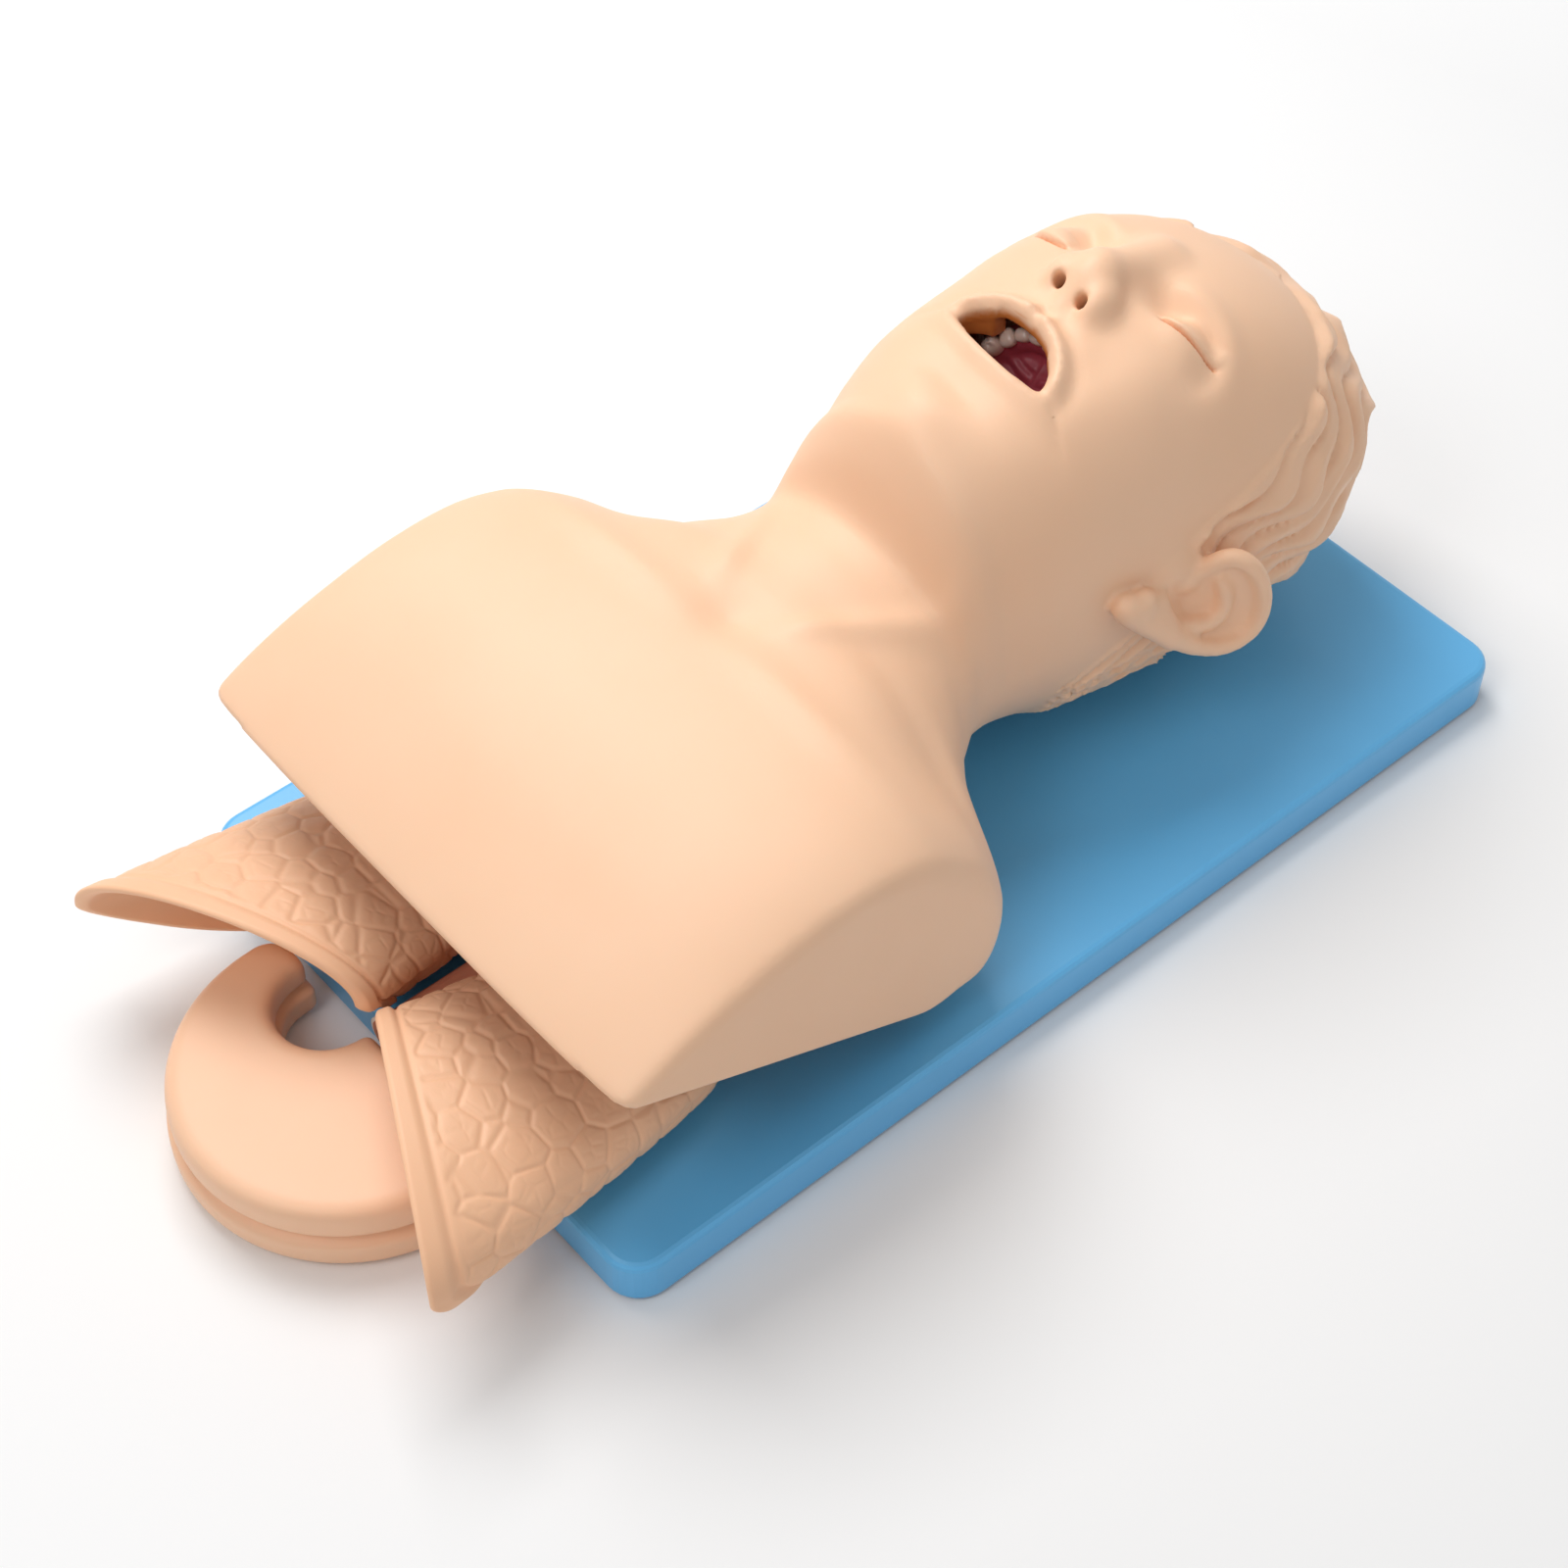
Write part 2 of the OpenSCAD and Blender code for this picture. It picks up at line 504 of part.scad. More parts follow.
lower_arch_z = upper_arch_z - 12;
lower_w = arch_w - 3;
jaw_h = 11;
ramus_x = plate_x - ramus_gap - ramus_t;
module ramus() {
    translate([ramus_x, 0, 0]) rotate([90, 0, 90]) linear_extrude(ramus_t) polygon([
        [lower_gum_y - jaw_h, lower_arch_z - 27], [lower_gum_y - jaw_h, lower_arch_z - 9],
        [lower_gum_y + 2, lower_arch_z - 5], [pivot_y - 8, pivot_z + 9],
        [pivot_y + 2, pivot_z + 7], [pivot_y + 2, pivot_z - 7], [pivot_y - 12, pivot_z - 5]]);
    translate([ramus_x, pivot_y, pivot_z]) rotate([0, 90, 0]) cylinder(d = pin_d + 9, h = ramus_t);
    translate([lower_w / 2 - 4, lower_gum_y - jaw_h, lower_arch_z - 25])
        cube([ramus_x - lower_w / 2 + 4 + eps, jaw_h - 2, 14]);
}
module lower_jaw() color("#d98f86") difference() {
    union() {
        translate([0, lower_gum_y - jaw_h, lower_arch_z]) {
            upright(jaw_h) arch_plan(lower_w, arch_leg - 8, gum_band - 1);
            upright(3) arch_plate(lower_w, arch_leg - 8);
        }
        ramus();
        mirror([1, 0, 0]) ramus();
    }
    translate([-60, pivot_y, pivot_z]) rotate([0, 90, 0]) cylinder(d = pin_d + 2 * pin_clear, h = 120);
}
module lower_teeth() color("ivory")
    translate([0, lower_gum_y, lower_arch_z]) scale([lower_w / arch_w, 1, 1]) tooth_row();
module tongue() color("#c8606a")
    translate([0, lower_gum_y - jaw_h + 3.2, lower_arch_z]) hull() {
        translate([0, 7, 4.5]) scale([1, 0.6, 0.8]) sphere(d = 20, $fn = 18);
        translate([0, 9, -12]) scale([1, 0.72, 1]) sphere(d = 24, $fn = 18);
        translate([0, 0.2, -14]) cube([18, 0.4, 34], center = true);
    }

// Headed pins through the cheek plates and into the jaw's arms
module jaw_pins() color("silver") for (s = [0, 1]) mirror([s, 0, 0]) {
    translate([ramus_x, pivot_y, pivot_z]) rotate([0, 90, 0])
        cylinder(d = pin_d, h = frame_w / 2 - ramus_x + 0.2);
    translate([frame_w / 2 + 0.1, pivot_y, pivot_z]) rotate([0, 90, 0]) cylinder(d = pin_d + 4, h = 1.8);
}

nasal_y = wall_y + plate_t + 7;
nasal_d = 6;
nasal_route = [[nostril_gap / 2, nostril_y + 6, head_z(0.965)], [nostril_gap / 2, nasal_y - 1, head_z(0.9)],
               [nostril_gap / 2, nasal_y, head_z(0.85)],
               [nostril_gap / 2, nasal_y, throat_top_z + seat_gap]];
nasal_wall = 2;
module nasal_passages() color("#c98a5c") {
    for (s = [0, 1]) mirror([s, 0, 0]) tube(nasal_route, nasal_d + 2 * nasal_wall, nasal_d, 16);
    web = nostril_gap / 2 - nasal_d / 2 - nasal_wall / 2;
    translate([-web, wall_y + plate_t + seat_gap, throat_top_z + 10])
        cube([2 * web, nasal_y - wall_y - plate_t, 26]);
}

// The throat: a funnel, oval under the mouth and the nose, that bends down into the neck and turns round
throat_sides = 22;
funnel_l = nasal_y - throat_top_y + 2;
function throat_ring(t, d) =
    let (bend = 90 * min(max((t - 0.2) / 0.6, 0), 1),
         lead = max(0.2 - t, 0) / 0.2, tail = max(t - 0.8, 0) / 0.2,
         stretch = funnel_l * pow(1 - t, 2) * (t < 1 ? 1 : 0),
         mid = [0, throat_top_y - throat_bend * (1 - cos(bend)) - 28 * tail,
                throat_level + throat_bend * (1 - sin(bend))
                + (throat_top_z - throat_level - throat_bend) * lead])
    [for (j = [0:throat_sides - 1]) let (a = 360 * j / throat_sides, out = [0, cos(bend), -sin(bend)])
        mid + d / 2 * sin(a) * [1, 0, 0] + (d / 2 * cos(a) + (cos(a) > 0 ? stretch * cos(a) : 0)) * out];
throat_steps = 10;
module throat() color("#b9655f") loft(backwards(concat(
    [for (i = [0:throat_steps]) throat_ring(i / throat_steps, throat_d + 2 * tube_t)],
    [for (i = [throat_steps:-1:0]) throat_ring(i / throat_steps, throat_d)])), true);

// The larynx: a pocket for the throat's end, with the two ways out of it side by side
pocket_l = 10;
module along_y(y, z, d, l) translate([0, y, z]) rotate([90, 0, 0]) cylinder(d = d, h = l);
module larynx() color("#d9a79a") difference() {
    union() {
        along_y(throat_end_y, throat_level, throat_d + 2 * tube_t, pocket_l + tube_t);
        translate([0, throat_end_y - pocket_l, 0]) rotate([90, 0, 0])
            linear_extrude(larynx_l - pocket_l) hull() {
            translate([0, windpipe_z]) circle(d = windpipe_d + 2 * tube_t);
            translate([0, gullet_z]) circle(d = gullet_d + 2 * tube_t);
        }
    }
    along_y(throat_end_y + 1, throat_level, throat_d, pocket_l + 1);
    along_y(throat_end_y - pocket_l + 1, windpipe_z, windpipe_d, larynx_l);
    along_y(throat_end_y - pocket_l + 1, gullet_z, gullet_d, larynx_l);
}
module epiglottis() color("#e2b0a4")
    translate([0, throat_end_y - pocket_l + 0.2, throat_level + throat_d / 2 - 2.35])
        rotate([-22, 0, 0]) linear_extrude(1.6) hull() {
        translate([-4, 0]) square([8, 1]);
        translate([0, 18]) circle(d = 13, $fn = 24);
    }
module vocal_cords() color("white")
    translate([0, throat_end_y - pocket_l - 6, windpipe_z])
        rotate([90, 0, 0]) linear_extrude(3) difference() {
        circle(d = windpipe_d - 0.1);
        polygon([[0, windpipe_d * 0.36], [windpipe_d * 0.22, -windpipe_d * 0.28],
                 [-windpipe_d * 0.22, -windpipe_d * 0.28]]);
    }

pipe_d = windpipe_d + 2 * tube_t;
module windpipe() color("#e6c7b4") difference() {
    union() {
        along_y(larynx_end_y, windpipe_z, pipe_d, windpipe_l);
        for (y = [10:ring_pitch:windpipe_l - 12])
            along_y(larynx_end_y - y, windpipe_z, pipe_d + 3, ring_pitch * 0.55);
    }
    along_y(larynx_end_y + 1, windpipe_z, windpipe_d, windpipe_l + 2);
}

// The gullet runs level through the neck, drops behind the windpipe and lies on the board to its end
gullet_out = gullet_d + 2 * tube_t;
stomach_bulge = 2;
stomach_top_y = -board_l / 2 - 10;
gullet_low_z = up(gullet_out / 2 + seat_gap);
gullet_end_y = stomach_top_y + stomach_bulge + seat_gap;
gullet_route = [[0, larynx_end_y, gullet_z], [0, -118, gullet_z], [0, -126, gullet_z - 3],
                [0, -182, gullet_low_z + 4], [0, -196, gullet_low_z], [0, gullet_end_y, gullet_low_z]];
module gullet() color("#d79b8d") tube(gullet_route, gullet_out, gullet_d, 20);

// The fork: a socket on the windpipe's end and two branches that come level at the lungs
port_x = 44;
port_z = up(34);
port_y = lung_apex_y + seat_gap;
fork_start = [0, windpipe_end_y - 9, windpipe_z];
fork_corner = [port_x, port_y + 22, port_z];
fork_bend = 14;
function bend(a, b, c, n = 6) =
    [for (i = [0:n]) let (t = i / n) pow(1 - t, 2) * a + 2 * t * (1 - t) * b + t * t * c];
fork_run = concat([fork_start], bend(fork_corner - fork_bend * unit(fork_corner - fork_start), fork_corner,
                                     fork_corner - [0, fork_bend, 0]));
fork_route = concat(fork_run, [[port_x, port_y, port_z]]);
fork_bore = concat(fork_run, [[port_x, port_y - 1, port_z]]);
module bronchial_fork() color("#e6c7b4") difference() {
    union() {
        along_y(windpipe_end_y - eps, windpipe_z, pipe_d, 11);
        for (s = [0, 1]) mirror([s, 0, 0]) rod(fork_route, branch_d + 2 * tube_t);
    }
    along_y(windpipe_end_y + 1, windpipe_z, windpipe_d, 9);
    for (s = [0, 1]) mirror([s, 0, 0]) rod(fork_bore, branch_d);
}

module clip(y, z, d) along_y(y, z, d + 2.6, 6);
module hose_clips() color("gainsboro") difference() {
    union() {
        clip(larynx_end_y - 2, windpipe_z, pipe_d);
        clip(windpipe_end_y + 9, windpipe_z, pipe_d);
        clip(larynx_end_y - 2, gullet_z, gullet_out);
    }
    along_y(larynx_end_y + 1, windpipe_z, pipe_d + 0.1, windpipe_l + 2);
    along_y(larynx_end_y + 1, gullet_z, gullet_out + 0.1, 20);
}

// A saddle post with a cradle for each tube, standing on a foot at level z
module saddle_post(y, z, foot_w, foot_l, t, screws) difference() {
    union() {
        translate([-foot_w / 2, y - foot_l / 2, z]) cube([foot_w, foot_l, 4]);
        translate([0, y + t / 2, 0]) rotate([90, 0, 0]) linear_extrude(t) polygon([
            [-foot_w / 2 + 6, z + 3], [foot_w / 2 - 6, z + 3], [16, gullet_z - 4], [16, windpipe_z + 3],
            [-16, windpipe_z + 3], [-16, gullet_z - 4]]);
        for (x = [-1, 1]) translate([x * screws, y, z]) cylinder(d = screw_d + 5, h = 12);
    }
    along_y(y + t, gullet_z, gullet_out + 0.4, 2 * t);
    along_y(y + t, windpipe_z, pipe_d + 3.4, 2 * t);
    translate([-3, y - t, gullet_z]) cube([6, 2 * t, windpipe_z - gullet_z]);
    translate([-pipe_d / 2 - 1.7, y - t, windpipe_z]) cube([pipe_d + 3.4, 2 * t, 20]);
    for (x = [-1, 1]) translate([x * screws, y, z - 1]) cylinder(d = screw_d + 0.1, h = 14);
}
cradle_z = board_top + skin_t + 1;
module tube_stand() color("whitesmoke") saddle_post(stand_y, board_top, 64, 22, 8, stand_screw_x);
module neck_cradle() color("whitesmoke") saddle_post(cradle_y, cradle_z, 84, 12, 8, cradle_screw_x);

// A lung: rings from the hidden tip to the slanting base rim, then back inside as a bowl
lung_rings = 12;
lung_sides = 24;
function lung_point(u, a, k, sink) =
    let (grow = 0.72 + 0.28 * pow(u, 0.7), bend = sin(a) > 0 ? 0.95 : 0.8,
         hw = lung_w / 2 * grow, h = lung_h / 2 * (0.62 + 0.38 * u),
         mid_x = lung_medial_x + 12 * (1 - u) + hw,
         z = lung_rest_z + h + h * k * sign(sin(a)) * pow(abs(sin(a)), bend),
         past_gullet = (gullet_out / 2 + 2.2 + 30 * (1 - k))
                     * ease((gullet_low_z + gullet_out / 2 + 11 - z) / 8),
         x = max(mid_x + hw * k * sign(cos(a)) * pow(abs(cos(a)), bend), past_gullet),
         over_stomach = 26 * exp(-pow((x - 58) / 30, 2)) * min(1, 1.6 * max(-sin(a), 0)),
         base_y = lung_base_y - lung_splay * (x - lung_medial_x)
                + (lung_scoop * max(-sin(a), 0) + over_stomach) * k)
    [x, lung_apex_y + u * (base_y - lung_apex_y) + sink, z];
function lung_ring(u, k, sink) = [for (i = [0:lung_sides - 1]) lung_point(u, 360 * i / lung_sides, k, sink)];
module lung() loft(backwards(concat(
    [lung_ring(0, 0.35, 0), lung_ring(0, 0.7, 0), lung_ring(0.02, 0.88, 0)],
    [for (i = [1:lung_rings]) lung_ring(0.02 + 0.98 * i / lung_rings, 1, 0)],
    [lung_ring(1, 0.93, -1), lung_ring(1, 0.88, 0)],
    [for (i = [1:5]) let (t = i / 5) lung_ring(1, 0.88 * cos(78 * t), lung_hollow * sin(90 * t))])));
module left_lung() color("#e9bb90") lung();
module right_lung() color("#e9bb90") mirror([1, 0, 0]) lung();
module lung_collars() color("gainsboro") for (s = [-1, 1]) difference() {
    along_y_at(s * port_x, port_y + 8, port_z, branch_d + 2 * tube_t + 4, 7.6);
    along_y_at(s * port_x, port_y + 9, port_z, branch_d + 2 * tube_t + 0.1, 10);
}
module along_y_at(x, y, z, d, l) translate([x, 0, 0]) along_y(y, z, d, l);

// The stomach: a rounded kidney with a bay between two arms and a seam at half height
stomach_y = -264;
stomach_r = stomach_w / 2;
bay_x = -29;
// The outline drawn in by an inset: the round belly, then the two arm ends with the bay between them
function stomach_edge(inset) =
    let (r = stomach_r - inset, b = bay_w / 2 + inset, c = 8 - 0.75 * max(inset, 0),
         top = stomach_top_y - inset)
    concat([for (a = [-180:12:0]) [r * cos(a), stomach_y + r * sin(a)]],
           [for (a = [15:25:90]) [r - c + c * cos(a), top - c + c * sin(a)]],
           [for (a = [90:30:180]) [bay_x + b + c + c * cos(a), top - c + c * sin(a)]],
           [for (a = [-15:-25:-165]) [bay_x + b * cos(a), stomach_y + 10 + b * sin(a)]],
           [for (a = [0:30:90]) [bay_x - b - c + c * cos(a), top - c + c * sin(a)]],
           [for (a = [110:30:170]) [-r + c + c * cos(a), top - c + c * sin(a)]]);
stomach_levels = [[0, 9], [0.05, 4], [0.16, 0.8], [0.3, 0], [0.42, 0.8], [0.47, 3], [0.5, 3.4], [0.53, 2.6],
                  [0.6, -1], [0.75, -stomach_bulge], [0.88, -0.5], [0.97, 4], [1, 9]];
module stomach() color("#edc096") loft([for (l = backwards(stomach_levels))
    [for (p = stomach_edge(l[1])) [p[0], p[1], l[0] * stomach_h]]]);
module stomach_collar() color("gainsboro") difference() {
    along_y(gullet_end_y + 6.3, gullet_low_z, gullet_out + 3, 6);
    along_y(gullet_end_y + 8, gullet_low_z, gullet_out + 0.1, 9);
}

base_board();
rubber_feet();
foot_screws();
body_skin();
skull_frame();
skull_screws();
upper_jaw();
upper_teeth();
lower_jaw();
lower_teeth();
tongue();
jaw_pins();
nasal_passages();
throat();
epiglottis();
larynx();
vocal_cords();
windpipe();
gullet();
bronchial_fork();
hose_clips();
tube_stand();
stand_screws();
neck_cradle();
cradle_screws();
left_lung();
right_lung();
lung_collars();
stomach();
stomach_collar();
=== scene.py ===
"""Looks of the intubation training manikin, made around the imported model.

The soft skin, palate, tongue and stomach are level surfaces of fields, worked out in millimetres on
grids; the skin's grid is finer over the face. The lungs and teeth are surfaces of two parameters, and
the board, screws and tubes are the CAD nodes.
"""
import logging
import math
from dataclasses import dataclass, field
from enum import Enum
from itertools import product

import bmesh
import bpy
import numpy as np
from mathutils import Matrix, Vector

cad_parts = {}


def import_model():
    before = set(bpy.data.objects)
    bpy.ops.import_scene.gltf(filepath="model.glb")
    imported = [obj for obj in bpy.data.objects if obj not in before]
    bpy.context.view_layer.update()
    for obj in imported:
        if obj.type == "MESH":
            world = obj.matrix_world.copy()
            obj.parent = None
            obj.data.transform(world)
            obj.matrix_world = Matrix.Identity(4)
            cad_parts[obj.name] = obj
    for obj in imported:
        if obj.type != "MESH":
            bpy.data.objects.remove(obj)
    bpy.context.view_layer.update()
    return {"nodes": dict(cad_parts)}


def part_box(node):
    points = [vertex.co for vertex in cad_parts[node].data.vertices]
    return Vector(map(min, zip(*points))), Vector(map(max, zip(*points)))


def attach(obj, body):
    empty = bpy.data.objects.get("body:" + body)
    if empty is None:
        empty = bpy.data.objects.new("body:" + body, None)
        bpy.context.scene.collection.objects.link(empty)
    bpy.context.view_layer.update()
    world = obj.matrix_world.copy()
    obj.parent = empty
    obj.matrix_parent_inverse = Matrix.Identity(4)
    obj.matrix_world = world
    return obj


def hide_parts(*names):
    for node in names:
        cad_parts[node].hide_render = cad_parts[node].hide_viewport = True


log = logging.getLogger("manikin")

MM = 0.001
BOARD_H = 22.0  # board height for which the places on the face are written, mm
SKIN_FACES = 90000  # faces that the soft skin keeps after thinning
ACROSS = 1e-6  # keeps a division by a slope of nothing apart from zero


# Colours and materials


class Grain(Enum):
    """How a surface was finished, which sets the bump that it gets."""

    MOULDED = "moulded"
    CAST = "cast"
    TURNED = "turned"


def linear(code: str) -> tuple[float, float, float, float]:
    """Turns an sRGB hex colour into a linear one.

    Args:
        code: the colour as "#rrggbb".

    Returns:
        Red, green, blue and an alpha of one, all linear.
    """
    parts = [int(code[i:i + 2], 16) / 255 for i in (1, 3, 5)]
    return tuple(p / 12.92 if p <= 0.04045 else ((p + 0.055) / 1.055) ** 2.4 for p in parts) + (1.0,)


def add_node(tree: bpy.types.NodeTree, kind: str, links: dict | None = None,
             **settings: object) -> bpy.types.Node:
    """Adds one shader node.

    Args:
        tree: the material's node tree.
        kind: the node's type name.
        links: for each input, by name or number, a plain value or the socket that feeds it.
        settings: properties to set on the node itself.

    Returns:
        The new node.
    """
    made = tree.nodes.new(kind)
    for name, value in settings.items():
        setattr(made, name, value)
    for name, value in (links or {}).items():
        if isinstance(value, bpy.types.NodeSocket):
            tree.links.new(value, made.inputs[name])
        else:
            made.inputs[name].default_value = value
    return made


@dataclass(frozen=True)
class Finish:
    """One finish: what the piece is made of, how it was made and what the eye gets from that.

    The sizes of grain and patches are real ones in millimetres. A metal keeps the shader's own index.
    """

    name: str
    colour: str
    deep: str
    rough: float = 0.5
    ior: float = 1.46
    metallic: float = 0.0
    soft: float = 0.0
    coat: float = 0.0
    grain: Grain = Grain.MOULDED
    grain_mm: float = 0.6
    grain_depth: float = 0.05
    patch_mm: float = 60.0
    # inner: the colour painted in by the mesh's inner attribute, as painted shade and glow of light through
    # the wall
    inner: str = ""

    def material(self) -> bpy.types.Material:
        """Builds the material: two tones of one colour in slow patches, with a fine grain as bump, and the
        inner colour painted in as shade and glow where the mesh asks for it.
        """
        made = bpy.data.materials.get(self.name)
        if made:
            return made
        made = bpy.data.materials.new(self.name)
        made.use_nodes = True
        tree = made.node_tree
        shader = tree.nodes["Principled BSDF"]
        values = {"Roughness": self.rough, "Metallic": self.metallic, "Subsurface Weight": self.soft,
                  "Subsurface Radius": (1.0, 0.45, 0.25), "Subsurface Scale": 1.5 * MM,
                  "Coat Weight": self.coat, "Coat Roughness": 0.25}
        if not self.metallic:
            values["IOR"] = self.ior
        for name, value in values.items():
            shader.inputs[name].default_value = value
        place = add_node(tree, "ShaderNodeTexCoord")
        patches = add_node(tree, "ShaderNodeTexNoise", {
            "Vector": place.outputs["Object"], "Scale": 1 / (self.patch_mm * MM), "Detail": 2.0})
        mix = add_node(tree, "ShaderNodeMix", {
            "Factor": patches.outputs["Fac"], "A": linear(self.colour), "B": linear(self.deep)},
            data_type="RGBA")
        tone = mix.outputs["Result"]
        # Painted light: a darker orange tone, mixed in by the mesh's inner attribute, stands in for shade
        # and for light coming through the wall
        if self.inner:
            depth = add_node(tree, "ShaderNodeAttribute", attribute_name="inner")
            painted_light_mix = add_node(tree, "ShaderNodeMix", {
                "Factor": depth.outputs["Fac"], "A": tone, "B": linear(self.inner)}, data_type="RGBA")
            tone = painted_light_mix.outputs["Result"]
        tree.links.new(tone, shader.inputs["Base Color"])
        stretch = (1, 1, 12) if self.grain is Grain.TURNED else (1, 1, 1)
        turned = add_node(tree, "ShaderNodeMapping", {"Vector": place.outputs["Object"], "Scale": stretch})
        detail = 6.0 if self.grain is Grain.CAST else 2.0
        grit = add_node(tree, "ShaderNodeTexNoise", {
            "Vector": turned.outputs["Vector"], "Scale": 1 / (self.grain_mm * MM), "Detail": detail})
        bump = add_node(tree, "ShaderNodeBump", {
            "Height": grit.outputs["Fac"], "Strength": 0.35, "Distance": self.grain_depth * MM})
        tree.links.new(bump.outputs["Normal"], shader.inputs["Normal"])
        return made


# Soft vinyl, slush moulded: a matt, slightly waxy skin with a tone that drifts slowly over the body,
# and a painted darker orange: painted shade and glow of light through the wall inside the shell, painted
# shade in the eye slits
SKIN = Finish("slush moulded vinyl skin", "#f4caa9", "#f0c29e", rough=0.5, soft=0.1, grain_mm=1.1,
              inner="#d9823f")
# The same vinyl in warmer batches: the lungs a little matter, the stomach a little smoother
LUNG = Finish("moulded vinyl lung", "#f3c29c", "#efb992", rough=0.5, soft=0.06, grain_mm=1.0)
STOMACH = Finish("moulded vinyl stomach", "#f4c8a6", "#f0bf9b", rough=0.46, soft=0.1, grain_mm=1.2)
# ABS, injection moulded in a satin mould: even colour and a soft sheen
BOARD = Finish("satin moulded ABS board", "#63b9ef", "#5eb3e9", rough=0.34, coat=0.1, grain_mm=0.8,
               grain_depth=0.03)
# Dyed vinyl, cast: a wet-looking red whose sheen breaks on a coarse grain, pinker and duller on the gum
PALATE = Finish("red vinyl palate", "#bf4d5c", "#a94150", rough=0.38, soft=0.08, grain_mm=1.5, patch_mm=9,
                grain_depth=0.12)
GUM = Finish("pink vinyl gum", "#c8716b", "#b8615c", rough=0.4, soft=0.1, grain_mm=1.4, patch_mm=12)
TONGUE = Finish("red vinyl tongue", "#b9505a", "#a8434e", rough=0.45, soft=0.1, grain_mm=0.9,
                grain_depth=0.2)
# Acrylic teeth, cast and polished: a milky body with a clear shine
TEETH = Finish("polished acrylic teeth", "#e9d3c6", "#e0c6b8", rough=0.22, soft=0.15, coat=0.2, patch_mm=6)
# Extruded vinyl tube, matt and blotched by its filler
AIRWAY = Finish("pink vinyl tubing", "#c9856b", "#b97458", rough=0.45, soft=0.08, patch_mm=25)
# Silicone, cast in open moulds: off white with a cloudy, uneven surface
CORD = Finish("cast silicone ring", "#e9e3d8", "#dfd8cb", rough=0.42, grain=Grain.CAST)
# Glass filled nylon: a dry, even grey white
FRAME_PLASTIC = Finish("moulded nylon frame", "#dcdad3", "#d3d0c8", rough=0.48)
# Nitrile rubber: near black, without shine, rough to the touch
RUBBER = Finish("moulded nitrile foot", "#26262a", "#1f1f22", rough=0.72, grain=Grain.CAST, grain_depth=0.1)
# Stainless steel off the lathe: a bright metal with fine rings round its length
STEEL = Finish("turned stainless steel", "#c9cbce", "#bfc1c4", rough=0.27, metallic=1.0, grain=Grain.TURNED)


# Fields and meshes, all in millimetres until a mesh is made


def ease(t: np.ndarray) -> np.ndarray:
    """A step from 0 to 1 that starts and ends level."""
    u = np.clip(t, 0.0, 1.0)
    return u * u * (3 - 2 * u)


def smooth_max(a: np.ndarray, b: np.ndarray, k: float) -> np.ndarray:
    """The larger of two distances, rounded where they are within k of each other."""
    h = np.clip(0.5 + 0.5 * (a - b) / k, 0.0, 1.0)
    return b + (a - b) * h + k * h * (1 - h)


def smooth_min(a: np.ndarray, b: np.ndarray, k: float) -> np.ndarray:
    """The smaller of two distances, with a fillet of about k."""
    return -smooth_max(-a, -b, k)


def hump(x: np.ndarray, y: np.ndarray, cx: float, cy: float, sx: float, sy: float) -> np.ndarray:
    """A bell of height one at (cx, cy): e to minus the sum of the squares of both offsets over sx and sy."""
    return np.exp(-((x - cx) / sx) ** 2 - ((y - cy) / sy) ** 2)


def ellipsoid(p: tuple, centre: tuple, radii: tuple) -> np.ndarray:
    """Distance to an ellipsoid, near enough close to its surface.

    The offset from the centre is divided by the radii, and its length less one is divided by its slope.

    Args:
        p: x, y and z of the places asked for.
        centre: the ellipsoid's middle.
        radii: its half widths.

    Returns:
        The distance at each place, negative inside.
    """
    q = [(a - c) / r for a, c, r in zip(p, centre, radii)]
    level = np.sqrt(q[0] ** 2 + q[1] ** 2 + q[2] ** 2)
    slope = np.sqrt(sum((a / r) ** 2 for a, r in zip(q, radii))) + ACROSS
    return level * (level - 1) / slope


def rod(p: tuple, a: tuple, b: tuple, ra: float, rb: float) -> np.ndarray:
    """Distance to a round rod: the way to the nearest point between its ends, less the radius there.

    Args:
        p: x, y and z of the places asked for.
        a: one end.
        b: the other end.
        ra: radius at a.
        rb: radius at b.

    Returns:
        The distance at each place, negative inside.
    """
    v = np.subtract(b, a)
    along = np.clip(sum((c - o) * d for c, o, d in zip(p, a, v)) / (v @ v), 0.0, 1.0)
    off = np.sqrt(sum((c - o - d * along) ** 2 for c, o, d in zip(p, a, v)))
    return off - (ra + (rb - ra) * along)


def panel(p: tuple, a: tuple, b: tuple, c: tuple, half: float) -> np.ndarray:
    """Distance to a thick triangle: its height over the plane inside it, else the way to its edges.

    Args:
        p: x, y and z of the places asked for.
        a: first corner.
        b: second corner.
        c: third corner.
        half: half the thickness, which also rounds the edges.

    Returns:
        The distance at each place, negative inside.
    """
    a, b, c = (np.asarray(v, float) for v in (a, b, c))
    n = np.cross(b - a, c - a)
    n /= np.linalg.norm(n)
    edges = np.minimum(rod(p, a, b, half, half), rod(p, b, c, half, half))
    edges = np.minimum(edges, rod(p, c, a, half, half))
    height = np.abs(sum((q - o) * d for q, o, d in zip(p, a, n))) - half
    inside = np.ones(height.shape, bool)
    for s, e in ((a, b), (b, c), (c, a)):
        side = np.cross(n, e - s)
        inside &= sum((q - o) * d for q, o, d in zip(p, s, side)) >= 0
    return np.where(inside, height, edges)


def graded(stops: list[tuple[float, float]], end: float) -> np.ndarray:
    """Grid coordinates whose step changes at given places.

    Args:
        stops: (place, step from there on) in rising order.
        end: the last coordinate.

    Returns:
        The coordinates as one rising array.
    """
    places = [s[0] for s in stops] + [end]
    runs = [np.linspace(a, b, max(2, round((b - a) / s[1]) + 1))[:-1]
            for s, a, b in zip(stops, places, places[1:])]
    return np.concatenate(runs + [[end]])


